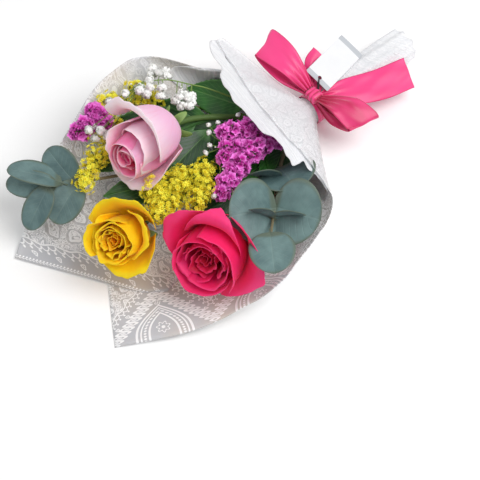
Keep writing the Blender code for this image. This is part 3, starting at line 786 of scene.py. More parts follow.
@shader_group({"Flat": "Vector", "Shift": "Float", "Zigzag": "Float"}, {"Mask": "Float"})
def lace_print(b: Board, given: Given) -> Given:
    """A traditional paisley lace in white line, over a flat sheet in metres.

    It has the border, a plain band, a scalloped hem with sprigs, and a field of paisleys in filigree.

    Args:
        b: the group's board.
        given: the group's inputs.

    Returns:
        The group's outputs.
    """
    u, v = b.split(given["Flat"])
    zigzag = given["Zigzag"]
    x, y = (u + given["Shift"]) * 1000.0, v * 1100.0
    bay, tilt, wide, high = 94.0, 0.7071, 30.0, 34.0
    warp_x = b.noise(b.vector(x, y), 0.055, 2.0) - 0.5
    warp_y = b.noise(b.vector(y, x, 7.0), 0.055, 2.0) - 0.5
    peak = (x - bay / 2).zigzag(bay)
    outside = (y - zigzag * (50.0 - peak)) * tilt
    along = (y - zigzag * peak + (1 - zigzag) * x) * tilt
    hem = outside - 15.5 + (along * 0.33).sin() * 0.9
    scallop = along.centred(5.6)
    frill = ((scallop * scallop * 1.1 + hem * hem) ** 0.5 - 2.7).line(0.9) * hem.ramp(0.6, -0.2)
    frill = frill.max((scallop * scallop + (hem + 4.4) ** 2.0).ramp(1.3, 0.6)).max((hem - 1.2).line(1.0))
    sprig = flower(b, along.centred(16.8), hem + 8.4, 1.5, 3.0, 0.9)
    cord = (y - 2.2 + (x * 1.85).sin() * 0.6).line(0.7)
    edge = ((x.centred(3.4)) ** 2.0 + (y - 4.0) ** 2.0).ramp(1.2, 0.5).max(cord)
    wx, wy = x + warp_x * 16.0, y + warp_y * 16.0
    column, row = (wx + wy) * tilt, (wy - wx) * tilt
    cx, cy = column.centred(wide), row.centred(high)
    ox, oy = (column + wide / 2).centred(wide), (row + high / 2).centred(high)
    big = paisley(b, cx, cy, 13.0).max(paisley(b, ox, oy * -1.0, 11.0))
    near = far_from(cx, cy * 0.72).ramp(6.8, 8.2) * far_from(ox, oy * 0.72).ramp(6.0, 7.4)
    curls = b.noise(b.vector(x, y), 0.17, 1.0, 0.4) * 9.0
    filigree = curls.centred(1.0).line(0.56)
    dots = far_from(wx.centred(4.4), wy.centred(4.4)).ramp(1.1, 0.6)
    rings = flower(b, ox, cy, 3.4, 8.0, 0.9)
    open_ring = far_from(ox, cy).ramp(4.4, 5.2)
    field = big.max(rings).max(filigree.max(dots * 0.8) * near * open_ring) * hem.ramp(1.2, 1.9)
    glow = (b.noise(b.vector(x, y), 0.12, 2.0) - 0.4).ramp(0.0, 0.3) * 0.22 * hem.ramp(1.0, 2.0)
    trim = border(b, x, y, outside, along, bay) * zigzag
    for more in (edge * (1 - zigzag), frill, sprig, field, glow):
        trim = trim.max(more)
    return {"Mask": trim * (y.ramp(230.0, 130.0) * 0.65 + 0.35)}


# -------- finishes
GLOW_REACH = 0.006


@dataclass
class Look:
    """What a finish leads to its shader.

    colour, roughness, height and alpha change over the surface. A height of 1 is depth mm, and
    relief says how strongly it shows. plain holds the shader's values that are the same all over.
    """

    colour: object
    roughness: object
    height: object
    depth: float
    relief: float
    plain: dict[str, object] = field(default_factory=dict)
    alpha: object = 1.0


@dataclass(frozen=True)
class Finish:
    """The maker of one material."""

    name: str

    def look(self, b: Board) -> Look:
        """What the finish leads to its shader."""
        raise NotImplementedError

    def material(self) -> Material:
        """The finish as a material.

        Returns:
            The material.
        """
        material = bpy.data.materials.new(self.name)
        material.use_nodes = True
        b = Board(material.node_tree)
        shader = material.node_tree.nodes["Principled BSDF"].inputs
        look = self.look(b)
        bump = b.node("Bump")
        for socket, value in (
            (shader["Base Color"], look.colour), (shader["Roughness"], look.roughness),
            (shader["Alpha"], look.alpha), (shader["Normal"], bump.outputs["Normal"]),
            (bump.inputs["Height"], look.height), (bump.inputs["Distance"], look.depth * MM),
            (bump.inputs["Strength"], look.relief),
            *((shader[name], value) for name, value in look.plain.items()),
        ):
            b.put(socket, value)
        return material


def see_through(weight: float, scale: float, radius: Point = (1.0, 1.0, 1.0)) -> dict[str, object]:
    """The shader's values for light that passes a little way through."""
    return {"Subsurface Weight": weight, "Subsurface Scale": scale, "Subsurface Radius": radius}


@dataclass(frozen=True)
class PetalFinish(Finish):
    """A velvety petal: its body, heart, claw and margin colours. The heart colour is painted shade of the
    inner crevices, and also draws the veins.
    """

    body: Colour
    heart: Colour
    claw: Colour
    margin: Colour
    glow: float

    def look(self, b: Board) -> Look:
        """Its colours and faint veins.

        Args:
            b: the material's board.

        Returns:
            What goes to the shader.
        """
        flesh = b.group(
            petal_flesh(), Flat=b.flat(), Tone=b.tone(),
            Body=self.body, Heart=self.heart, Claw=self.claw, Margin=self.margin,
        )
        plain = see_through(self.glow, GLOW_REACH, (1.0, 0.5, 0.4))
        plain |= {"Sheen Weight": 0.06, "Specular IOR Level": 0.30}
        return Look(flesh["Color"], 0.66 - flesh["Height"] * 0.16, flesh["Height"], 0.35, 0.35, plain)


@dataclass(frozen=True)
class LeafFinish(Finish):
    """A leaf blade with its veins: dark and light greens, vein colour, count and lean."""

    dark: Colour
    light: Colour
    vein: Colour
    margin: Colour
    count: float
    lean: float
    roughness: float
    vein_share: float

    def look(self, b: Board) -> Look:
        """Patchy green, a rim, and the veins.

        Args:
            b: the material's board.

        Returns:
            What goes to the shader.
        """
        veins = b.group(leaf_veins(), Flat=b.flat(), Count=self.count, Lean=self.lean)
        u, v = b.split(b.flat())
        patch = b.noise(b.place(), 60.0, 3.0)
        # The tone shifts the green darker or lighter; the low tones of the leaves that hang under the flowers
        # are painted shade.
        tint = b.mix((patch * 0.7 + b.tone() * 0.6 - 0.15).ramp(0.2, 0.8), self.dark, self.light)
        rim = (u - 0.5).abs().max((v - 0.55).abs() * 1.08).ramp(0.40, 0.50)
        tint = b.mix(rim, tint, self.margin)
        tint = b.mix(veins["Mask"] * self.vein_share, tint, self.vein)
        return Look(tint, veins["Net"] * 0.2 + (self.roughness - 0.1), veins["Height"], 0.5, 0.5)


@dataclass(frozen=True)
class FloretFinish(Finish):
    """Small crowded florets: stem, dark and light colours that their tone picks from, 0 for the stem."""

    stem: Colour
    dark: Colour
    light: Colour
    roughness: float = 0.7
    glow: float = 0.0

    def look(self, b: Board) -> Look:
        """Stem or flower by the tone, with a fine grain.

        Args:
            b: the material's board.

        Returns:
            What goes to the shader.
        """
        grain = b.group(mottle(), Place=b.place(), Dark=(0.35, 0.35, 0.35), Light=(0.65, 0.65, 0.65))["Grain"]
        flower = b.mix((b.tone() + grain * 0.4 - 0.2).ramp(0.30, 0.90), self.dark, self.light)
        tint = b.mix(b.tone().ramp(0.12, 0.22), self.stem, flower)
        plain = see_through(self.glow, 0.002)
        return Look(tint, grain * 0.2 + (self.roughness - 0.1), grain, 0.2, 0.3, plain)


@dataclass(frozen=True)
class FilmFinish(Finish):
    """Film with the lace printed on it in white, on a grey ground of painted shade.

    shift moves the print, zigzag is 1 where it has the zigzag border, and the tone is 0 where the
    film lies open and 1 where it backs the tissue.
    """

    cool: Colour
    warm: Colour
    ink: Colour
    shift: float
    zigzag: float
    opacity: float = 0.82

    def look(self, b: Board) -> Look:
        """A grey ground of painted shade with the print, paler and more open where tissue lies behind it.

        Args:
            b: the material's board.

        Returns:
            What goes to the shader.
        """
        lace = b.group(lace_print(), Flat=b.flat(), Shift=self.shift, Zigzag=self.zigzag)["Mask"]
        veil = b.tone()
        # The grey ground is painted shade; where tissue lies behind it is painted paler.
        ground = b.mix((b.noise(b.flat(), 14.0, 2.0) - 0.35).ramp(0.0, 0.35), self.cool, self.warm)
        ground = b.mix(veil, ground, (0.93, 0.94, 0.96))
        tint = b.mix(lace * (0.95 - veil * 0.45), ground, self.ink)
        folds = b.group(crinkle(), Flat=b.flat(), Creases=0.10)["Height"]
        alpha = (lace * (0.5 - veil * 0.3) + self.opacity - veil * 0.42).min(1.0)
        plain = see_through(0.16, GLOW_REACH) | {"Specular IOR Level": 0.4}
        return Look(tint, lace * 0.3 + 0.32, folds + lace * 0.04, 1.2, 0.25, plain, alpha)


@dataclass(frozen=True)
class TissueFinish(Finish):
    """Thin white tissue with soft folds."""

    light: Colour
    shade: Colour

    def look(self, b: Board) -> Look:
        """Folds and fibres, with painted shade in the folds.

        Args:
            b: the material's board.

        Returns:
            What goes to the shader.
        """
        folds = b.group(crinkle(), Flat=b.flat(), Creases=0.35)["Height"]
        fibres = b.noise(b.flat(), 700.0, 3.0, 0.7)
        # Painted shade: the low places of the folds take the shade colour.
        tint = b.mix((folds * 0.6 + fibres * 0.3).ramp(0.15, 0.75), self.shade, self.light)
        return Look(tint, fibres * 0.2 + 0.7, folds + fibres * 0.05, 1.6, 0.55, see_through(0.18, GLOW_REACH))


@dataclass(frozen=True)
class SatinFinish(Finish):
    """Satin ribbon: threads across, a woven edge, a painted sheen that drifts along it, and painted shade in
    its pleats.
    """

    deep: Colour
    bright: Colour
    width: float

    def look(self, b: Board) -> Look:
        """Painted shade in the pleats and painted light between them, from the tone of each piece, with a
        painted sheen. Its UVs are metres across and along it.

        Args:
            b: the material's board.

        Returns:
            What goes to the shader.
        """
        u, v = b.split(b.flat())
        weave = b.group(thread_weave(), Flat=b.flat(), Pitch=0.0004)["Height"]
        drift = b.noise(b.vector(u * 2.0, v * 0.6), 40.0, 2.0)
        hem = (u.abs() - (self.width / 2 - 0.8) * MM).ramp(-0.0003, 0.0003)
        # The tone and the drift mix the shaded colour into the lit one: painted shade in the pleats, painted
        # light on their ridges and a drifting painted sheen.
        tint = b.mix((b.tone() * 0.9 + drift * 0.5 + weave * 0.06).ramp(0.25, 1.0), self.deep, self.bright)
        plain = {"Sheen Weight": 0.3, "Specular IOR Level": 0.45, "Anisotropic": 0.4}
        return Look(
            b.mix(hem * 0.4, tint, self.deep), drift * 0.12 + hem * 0.15 + 0.28,
            weave * 0.05 + hem * 0.5 + drift * 0.3, 0.25, 0.35, plain,
        )


@dataclass(frozen=True)
class CardFinish(Finish):
    """Smooth white card with a grey strip of painted shade at each curled end."""

    paper: Colour
    strip: Colour
    length: float
    inset: float

    def look(self, b: Board) -> Look:
        """Faintly mottled paper and its strips of painted shade. Its UVs are metres across and along it.

        Args:
            b: the material's board.

        Returns:
            What goes to the shader.
        """
        _, v = b.split(b.flat())
        half = 0.5 * self.length
        # strip is painted shade at each curled end.
        strip = (v - half * MM).abs().ramp((half - self.inset) * MM, (half - self.inset + 0.25) * MM)
        paper = b.group(mottle(), Place=b.place(), Dark=self.paper, Light=tuple(1.04 * c for c in self.paper))
        grain = paper["Grain"]
        return Look(b.mix(strip, paper["Color"], self.strip), grain * 0.15 + 0.42, grain, 0.05, 0.25)


@dataclass(frozen=True)
class CordFinish(Finish):
    """A dull woven or moulded band in one colour, with threads round it."""

    dark: Colour
    light: Colour
    pitch: float

    def look(self, b: Board) -> Look:
        """Mottled colour, and ribs that run round.

        Args:
            b: the material's board.

        Returns:
            What goes to the shader.
        """
        spots = b.group(mottle(), Place=b.place(), Dark=self.dark, Light=self.light)
        x, y = b.split(b.place())
        rib = (y * (RADIANS_ROUND / (self.pitch * MM)) + x * 900.0).sin() * 0.5 + 0.5
        return Look(spots["Color"], spots["Grain"] * 0.2 + 0.5, rib + spots["Grain"] * 0.3, 0.12, 0.5)


@dataclass(frozen=True)
class FloorFinish(Finish):
    """A pale matt floor."""

    pale: Colour

    def look(self, b: Board) -> Look:
        """One pale colour with a faint grain."""
        grain, bright = b.noise(b.place(), 400.0, 2.0), tuple(min(1.0, c * 1.02) for c in self.pale)
        return Look(b.mix(grain, self.pale, bright), grain * 0.1 + 0.75, grain, 0.02, 0.05)


# -------- stems
TIE_HEIGHT = 16.2
STEM_END = 112.0
STEM_STRAIGHT = 8.0
LOWEST_STEM = 14.0
LEAVE_SHARE, ARRIVE_SHARE = 0.28, 0.30
STRAIGHT_POINTS = 8


@dataclass(frozen=True)
class Stem:
    """A stem that runs straight through the tie and then curves to its end.

    across and above place it from the middle of the tie. lean is the direction in which it
    arrives at its end, and cut how much shorter than the longest stem it is behind the tie.
    """

    across: float
    above: float
    radius: float
    end: Point
    lean: Point
    cut: float

    def route(self, steps: int = 30) -> Array:
        """The stem's middle line, from its cut end to its flower.

        Args:
            steps: how many points its curved part gets.

        Returns:
            One point in each row.
        """
        start = np.array((self.across, -STEM_STRAIGHT, TIE_HEIGHT + self.above))
        back = np.array((self.across, STEM_END - self.cut, TIE_HEIGHT + self.above))
        end, lean = np.array(self.end, float), unit(np.array(self.lean, float))
        reach = np.linalg.norm(end - start)
        leave = start + np.array((0, -LEAVE_SHARE * reach, 0))
        arrive = end - lean * ARRIVE_SHARE * reach
        arrive[2] = max(arrive[2], LOWEST_STEM)
        t = np.linspace(0, 1, steps + 1)[:, None]
        curve = start * (1 - t) ** 3 + 3 * leave * t * (1 - t) ** 2
        curve = curve + 3 * arrive * t * t * (1 - t) + end * t**3
        straight = back + (start - back) * np.linspace(0, 1, STRAIGHT_POINTS, endpoint=False)[:, None]
        return np.vstack([straight, curve])

    def side_point(self, y: float, direction: Point, radius: float) -> Array:
        """The point on the stem's side where it crosses that y.

        Args:
            y: where along the bouquet.
            direction: which side.
            radius: how far from its middle line.

        Returns:
            The point.
        """
        route = self.route()
        below = route[1:, 1] <= y
        i = int(np.argmax(below)) if below.any() else len(route) - 2
        t = (route[i, 1] - y) / (route[i, 1] - route[i + 1, 1])
        ahead = unit(route[i + 1] - route[i])
        side = np.array(direction, float)
        side = unit(side - ahead * ahead.dot(side))
        return blend(route[i], route[i + 1], t) + side * radius


STEMS = {
    "pink_rose": Stem(-1.9, 6.4, 3.0, (-44.2, -132.8, 61.3), (0.12, -0.92, 0.37), 2),
    "yellow_rose": Stem(0.7, -7.5, 3.0, (6.1, -218.6, 28.9), (0.29, -0.64, 0.71), 6),
    "magenta_rose": Stem(6.2, -4.0, 3.0, (64.0, -160.4, 35.8), (0.40, -0.75, 0.52), 0),
    "eucalyptus_right": Stem(7.2, 2.1, 2.3, (106, -148, 66), (0.62, -0.72, 0.30), 4),
    "eucalyptus_left": Stem(-0.7, -2.0, 2.3, (-73, -266, 51), (-0.35, -0.90, 0.26), 8),
    "goldenrod_centre": Stem(3.2, 0.1, 1.75, (2, -128, 46), (0.1, -0.95, 0.2), 10),
    "goldenrod_left": Stem(-4.0, -5.0, 1.75, (-56, -184, 38), (-0.3, -0.9, 0.2), 5),
    "goldenrod_back": Stem(-3.0, 1.5, 1.5, (-78, -119, 43), (-0.5, -0.8, 0.2), 9),
    "statice_right": Stem(3.1, 4.3, 1.75, (18, -62, 40), (0.2, -0.9, 0.4), 12),
    "statice_left": Stem(-5.2, -1.3, 1.75, (-94, -174, 50), (-0.4, -0.8, 0.3), 7),
    "gypsophila_left": Stem(-5.8, 3.2, 1.4, (-60, -90, 65), (-0.6, -0.6, 0.3), 3),
    "gypsophila_right": Stem(0.3, 2.1, 1.4, (6, -88, 52), (0.1, -0.9, 0.3), 14),
}


@dataclass(frozen=True)
class Grown:
    """What grows on the stem that has its name."""

    name: str

    def stem(self) -> Stem:
        """Its stem."""
        return STEMS[self.name]


# -------- roses
CAD_PETAL_WALL = 0.9
NARROW_ROOT, WIDE_ROOT, CUP_ROOT = 3.2, 4.8, 3.0
HIGH_LIFT, LOW_LIFT = 1.6, 0.3
HIP_LENGTH = 10.0
CALYX_RADIUS = 6.9
CALYX_DROP = 1.2
SEPALS = 5
SEPAL_GAP = 2.2
SEPAL_SLOPE = -40.0


def sloped_line(length: float, root: float, slopes: Point, roll: float = 0.0) -> Array:
    """A petal's line from its root to its margin.

    Args:
        length: its length in mm.
        root: how far from the flower's axis it starts.
        slopes: degrees above level at the root, in the body and at the lip.
        roll: degrees by which the margin itself rolls outward.

    Returns:
        Rows of distance from the axis and height.
    """
    steps = 60
    v = (np.arange(steps) + 0.5) / steps
    base, body, lip = slopes
    slope = blend(base, body, smooth_step(v / 0.45))
    slope = blend(slope, lip, smooth_step((v - 0.62) / 0.38)) - roll * smooth_step((v - 0.86) / 0.14)
    run = np.cumsum(np.cos(np.radians(slope))) * length / steps
    rise = np.cumsum(np.sin(np.radians(slope))) * length / steps
    return side_by_side(root + np.append(0, run), np.append(0, rise))


def cup_line(root: float, radius: float, height: float, lean: float, roll: float = 0.0) -> Array:
    """An inner petal's line: out to its widest, up, and over towards the axis or away from it.

    Args:
        root: how far from the flower's axis it starts.
        radius: its widest distance from the axis.
        height: the height of its margin.
        lean: how far the margin stands outside the widest part, as a share of the radius.
        roll: how far the margin rolls outward, in mm.

    Returns:
        Rows of distance from the axis and height.
    """
    keys = [
        (root, 0), (blend(root, radius, 0.72), 0.10 * height), (radius, 0.38 * height),
        (radius * (1 + 0.25 * lean), 0.74 * height), (radius * (1 + 0.8 * lean), 0.95 * height),
        (radius * (1 + lean) + roll, height),
    ]
    return smooth_route(keys, 10)


@dataclass(frozen=True)
class Petal:
    """One petal: a strip that follows its line and wraps round the flower's axis.

    turn is its middle's angle in degrees, flatness its own bend radius as a share of its
    distance from the axis, and lift how far its root stands off the hip. trim and corner shape
    its margin: how much shorter its sides are, and how square. tuck moves one side in and the
    other out, slant one side up and the other down, curl rolls the sides outward, ruffle waves
    the margin and shift leans the whole petal aside at its top, all in mm. point draws the
    middle of the margin out to a tip, as a share of the length.
    """

    turn: float
    line: Array
    half_width: float
    flatness: float = 1.0
    lift: float = 0.0
    trim: float = 0.20
    corner: float = 3.0
    tuck: float = 0.0
    slant: float = 0.0
    curl: float = 0.0
    ruffle: float = 0.6
    point: float = 0.0
    shift: Pair = (0.0, 0.0)
    tone: float = 0.0
    seed: float = 0.0

    def shape(self, columns: int = 26, rows: int = 22) -> Shape:
        """The petal in its flower's own frame.

        Args:
            columns: how many quads go across it.
            rows: how many go up it.

        Returns:
            Its surface.
        """
        side, v = np.meshgrid(np.linspace(-1, 1, columns + 1), np.linspace(0, 1, rows + 1) ** 0.8)
        edge = np.abs(side)
        jag = 0.012 * waves(side * 9, side * 4, self.seed + 1)
        reach = v * (1 - self.trim * edge**self.corner + self.point * (1 - edge) ** 2 * v + jag * v)
        at = np.clip(reach, 0, 1) * (len(self.line) - 1)
        index = np.arange(len(self.line))
        radius, height = (np.interp(at, index, self.line[:, k]) for k in (0, 1))
        beyond = np.maximum(reach - 1, 0)[..., None] * (self.line[-1] - self.line[-2]) * (len(self.line) - 1)
        radius, height = radius + beyond[..., 0], height + beyond[..., 1]
        wide = 0.16 + 0.84 * smooth_step(v / 0.62)
        wave = waves(side * 2.4, v * 1.7, self.seed) * self.ruffle * v**2
        radius = np.maximum(radius + wave + self.tuck * side * smooth_step(v / 0.6), 0.6)
        radius = radius + self.curl * smooth_step((edge - 0.72) / 0.28) * v
        height = height + 0.5 * self.ruffle * waves(side * 3.1, v, self.seed + 3) * v**3
        height = height + self.slant * side * v**2
        wrap = np.maximum(self.flatness * radius, min(5.0, 0.9 * float(self.line[:, 0].max())))
        bend = side * self.half_width * wide / wrap
        out, across = radius - wrap + wrap * np.cos(bend), wrap * np.sin(bend)
        turn = math.radians(self.turn)
        aside = (height / float(self.line[:, 1].max())) ** 2
        points = side_by_side(
            out * math.cos(turn) - across * math.sin(turn) + aside * self.shift[0],
            out * math.sin(turn) + across * math.cos(turn) + aside * self.shift[1],
            height + self.lift + CAD_PETAL_WALL / 2,
        )
        uv = side_by_side((side + 1) / 2, np.clip(reach, 0, 1))
        # The tone rises towards the root, deeper in the flower: painted shade.
        return Shape.grid(points, uv, np.clip(self.tone + 0.35 * (1 - v) ** 2, 0, 1))


@dataclass(frozen=True)
class Whorl:
    """The spiral of petals inside the flower.

    It starts at the outer radius and height and ends at the inner ones. first is the angle of
    its first petal, lean how far the margins stand out at the start and at the end.
    """

    count: int
    radii: Pair
    heights: Pair
    lean: Pair
    first: float
    spread: float = 1.0
    step: float = 137.5
    # tones run from the outer to the inner petals; the higher inner tones paint in the heart colour as
    # painted shade.
    tones: Pair = (0.25, 1.0)
    crumple: float = 1.0

    def petals(self) -> list[Petal]:
        """The petals, from the outermost in.

        Returns:
            The petals.
        """
        made = []
        for k in range(self.count):
            t = k / (self.count - 1)
            uneven = math.sin(2.4 * k + self.first)
            radius = blend(self.radii[0], self.radii[1], t**0.8)
            lean = blend(self.lean[0], self.lean[1], t) + 0.05 * uneven
            height = blend(self.heights[0], self.heights[1], t) + 1.6 * uneven * (1 - 0.5 * t)
            line = cup_line(min(2.5, 0.6 * radius), radius, height, lean, blend(1.6, 0.4, t))
            made.append(Petal(
                self.first + self.step * k + 11 * uneven, line, blend(1.35, 2.0, t) * radius * self.spread,
                tuck=blend(0.16, 0.34, t) * radius, curl=blend(1.2, 0.2, t), trim=0.12, corner=2.2,
                ruffle=self.crumple * blend(1.1, 0.35, t), point=0.05 * self.crumple * max(0.0, uneven),
                tone=blend(*self.tones, t), seed=2.7 * k + self.first,
            ))
        return made


@dataclass(frozen=True)
class Rose(Grown):
    """A cut rose: a stem with its hip, a calyx, four outer petals and the petals inside them.

    base is where the petals start. outer holds the four petals that have a solid of their own,
    whorl and extras what stands inside them, and lean is how far those lean aside. Each petal's
    seed is its number and the rose's own seed.
    """

    finish: PetalFinish
    petal_slot: Slot
    base: Point
    lean: Pair
    seed: float
    outer: tuple[Petal, ...]
    whorl: Whorl
    extras: tuple[Petal, ...]
    sepal_length: float

    def place(self, shape: Shape) -> Shape:
        """A shape in the flower's own frame, moved to the stem's end and turned along it."""
        turned = shape.points @ frame_towards(self.stem().lean).T + np.array(self.base, float)
        return Shape(turned, shape.faces, shape.uv, shape.tone)

    def build(self, green: Material) -> None:
        """Makes the rose's pieces.

        Args:
            green: the material of its stem and calyx.
        """
        flesh = self.finish.material()
        for i, petal in enumerate(self.outer, 1):
            name = f"{self.name}_petal_{i}"
            shape = replace(petal, seed=self.seed + i).shape(36, 32)
            make_piece(name, self.place(shape), flesh, [name], Wall.PETAL)
        inside = [replace(petal, shift=self.lean).shape() for petal in self.whorl.petals()]
        inside += [
            replace(petal, seed=self.seed + i, shift=self.lean).shape(30, 26)
            for i, petal in enumerate(self.extras, len(self.outer) + 1)
        ]
        heart, calyx, stem = (f"{self.name}_{part}" for part in ("heart", "calyx", "stem"))
        make_piece(heart, self.place(Shape.joined(inside)), flesh, [heart], Wall.HEART)
        make_piece(calyx, self.place(self.calyx()), green, [calyx], Wall.CALYX)
        make_piece(stem, self.stem_shape(), green, [stem])

    def calyx(self) -> Shape:
        """Five pointed sepals in a ring round the hip, spreading under the petals.

        Returns:
            Their surface in the flower's own frame.
        """
        turn, v = np.meshgrid(np.linspace(0, FULL_TURN, 101), np.linspace(0, 1, 15))
        lobe = np.abs(np.cos(SEPALS / 2 * turn)) ** 3.2
        reach = v * blend(SEPAL_GAP, self.sepal_length, lobe)
        slope = np.radians(SEPAL_SLOPE * smooth_step(reach / 16))
        keel = 0.5 * np.sin(math.pi * v) * np.cos(SEPALS * turn)
        out = CALYX_RADIUS + reach * np.cos(slope)
        return Shape.grid(around(turn, out, reach * np.sin(slope) - CALYX_DROP + keel), tone=0.35 + 0.5 * v)

    def stem_shape(self) -> Shape:
        """The stem, with a faint knot at each old leaf and the hip at its end.

        Returns:
            The bar in the bouquet's frame.
        """
        route = self.stem().route()
        base, axis = np.array(self.base, float), unit(np.array(self.stem().lean, float))
        radii = self.stem().radius * (0.96 + 0.06 * np.cos(np.arange(len(route)) * 0.9))
        hip = np.array([
            (0.12, 3.1), (0.25, 3.6), (0.4, 4.7), (0.55, 5.6), (0.7, 5.95), (0.85, 6.0), (1.0, 5.8),
        ])
        ends = base - axis * HIP_LENGTH * (1 - hip[:, :1])
        return sweep(np.vstack([route, ends]), np.concatenate([radii, hip[:, 1]]), 16, 0.45)


# -------- leaves
TEETH = 15
TOOTHED_ROWS, SMOOTH_ROWS = 56, 34
TIP_RADIUS = 1.2


@dataclass(frozen=True)
class Leaf:
    """A leaf with its stalk: from its start on the stem to its tip, facing one way.

    serration is the depth of its teeth as a share of its half width, stalk the share of its
    length that is stalk.
    """

    name: str
    y: float
    side: Point
    tip: Point
    facing: Point
    width: float
    stalk: float
    round_blade: bool = False
    serration: float = 0.0
    tone: float = 0.5
    bow: float = 0.06

    def shape(self, stem: Stem, radius: float) -> Shape:
        """The leaf's sheet.

        Args:
            stem: the stem it grows on.
            radius: how thick that stem is there.

        Returns:
            Its surface, with u across and v along it.
        """
        base, tip = stem.side_point(self.y, self.side, radius - 0.3), np.array(self.tip, float)
        length = float(np.linalg.norm(tip - base))
        along = unit(tip - base)
        across = unit(np.cross(along, np.array(self.facing, float)))
        normal = np.cross(across, along)
        if self.round_blade:
            base = base - along * (0.16 * length) + normal * radius
            length *= 1.16
        rows = TOOTHED_ROWS if self.serration else SMOOTH_ROWS
        side, v = np.meshgrid(np.linspace(-1, 1, 17), np.linspace(0, 1, rows + 1))
        v = 0.5 - 0.5 * np.cos(math.pi * v) if self.round_blade else v
        t = np.clip((v - self.stalk) / (1 - self.stalk), 0, 1)
        if self.round_blade:
            half = np.sqrt(np.maximum(1 - (2 * t - 1) ** 2, 0)) * self.width / 2
        else:
            half = np.sin(math.pi * t**0.85) ** 0.85 * self.width / 2
        teeth = np.mod(t * TEETH, 1.0) * self.serration
        half = np.maximum(half * (1 - teeth), 0.75)
        seed = self.width + self.y
        rise = 0.12 * half * side**2 + self.bow * length * np.sin(math.pi * v)
        rise = rise + 0.7 * waves(side * 1.5, v * 5, seed) * np.abs(side) * np.sin(math.pi * v)
        rise = rise - 0.5 * (1 - np.abs(side)) ** 6
        points = base + along * (v * length)[..., None] + across * (side * half)[..., None]
        points = points + normal * rise[..., None]
        return Shape.grid(points, side_by_side((side + 1) / 2, t), self.tone)


@dataclass(frozen=True)
class RoseLeaves:
    """The broad dark leaves on the rose stems, each with the stem it grows on."""

    leaves: tuple[tuple[str, Leaf], ...]
    filler: tuple[tuple[str, Leaf], ...]
    finish: LeafFinish

    def build(self) -> None:
        """Makes one piece for each leaf, and one for the small leaves between the flowers."""
        blade = self.finish.material()
        for stem, leaf in self.leaves:
            shape = leaf.shape(STEMS[stem], STEMS[stem].radius)
            make_piece(leaf.name, shape, blade, [leaf.name], Wall.LEAF)
        crowd = [leaf.shape(STEMS[stem], STEMS[stem].radius) for stem, leaf in self.filler]
        make_piece("rose_leaf_filler", Shape.joined(crowd), blade, wall=Wall.FILLER)


@dataclass(frozen=True)
class Sprig(Grown):
    """A sprig of eucalyptus: its stem, thinner towards its tip, and its round leaves."""

    leaves: tuple[Leaf, ...]
    finish: LeafFinish

    def build(self, bark: Material) -> None:
        """Makes the stem and the leaves.

        Args:
            bark: the stem's material.
        """
        stem = self.stem()
        route = stem.route()
        far = (np.arange(len(route)) - STRAIGHT_POINTS) / (len(route) - STRAIGHT_POINTS - 1)
        radii = blend(stem.radius, TIP_RADIUS, np.clip(far, 0, 1))
        name = f"{self.name}_stem"
        make_piece(name, sweep(route, radii, 12, 0.5), bark, [name])
        blade = self.finish.material()
        for leaf in self.leaves:
            near = int(np.argmin(np.abs(route[:, 1] - leaf.y)))
            name = f"{self.name}_{leaf.name}"
            shape = leaf.shape(stem, float(radii[near]))
            make_piece(name, shape, blade, [name], Wall.EUCALYPTUS)


# -------- small flowers
QUARTER = 1.57
SPINS = (0, 6.28)


def star_floret(petals: int, radius: float, dome: float) -> Shape:
    """A small daisy-like flower: a domed middle with narrow petals round it, facing +Z.

    Args:
        petals: how many petals it has.
        radius: from its middle to the petals' tips.
        dome: the middle's radius.

    Returns:
        The flower, with a darker middle.
    """
    turns = np.linspace(0, FULL_TURN, petals, endpoint=False)
    width = 0.9 * math.pi / petals
    made = []
    for k, turn in enumerate(turns):
        lift = 0.22 if k % 2 else 0.38
        reach = np.array([(0.25, 0.0), (0.62, width), (1.0, 0.0), (0.62, -width)])
        flat = side_by_side(np.cos(turn + reach[:, 1]), np.sin(turn + reach[:, 1])) * reach[:, :1]
        height = np.array([0.05, lift * 0.6, lift, lift * 0.6])[:, None]
        points = np.hstack([flat, height]) * radius
        made.append(Shape(points, [(0, 1, 2, 3)], np.zeros((4, 2)), np.array([0.45, 0.8, 1.0, 0.8])))
    rim, v = np.meshgrid(np.linspace(0, FULL_TURN, 8), np.array([0.0, 0.5, 0.85, 1.0]))
    ball = around(rim, dome * np.sin(v * QUARTER + 0.01), dome * 1.1 * np.cos(v * QUARTER) + 0.1)
    made.append(Shape.grid(ball[::-1], tone=0.55))
    return Shape.joined(made)


def funnel_floret(radius: float, depth: float, lobes: int) -> Shape:
    """A papery funnel with a lobed, ruffled margin, facing +Z.

    Args:
        radius: its mouth's radius.
        depth: its depth.
        lobes: how many lobes its margin has.

    Returns:
        The funnel, lighter at its margin.
    """
    turn, v = np.meshgrid(np.linspace(0, FULL_TURN, 4 * lobes + 1), np.linspace(0, 1, 4))
    lobe = 1 + 0.22 * np.cos(lobes * turn) * v**2
    out = radius * (0.16 + 0.84 * v**1.3) * lobe
    height = depth * (v**0.7 - 1) + 0.16 * radius * np.cos(2 * lobes * turn + 1) * v**3
    return Shape.grid(around(turn, out, height), tone=0.25 + 0.75 * v**1.5)


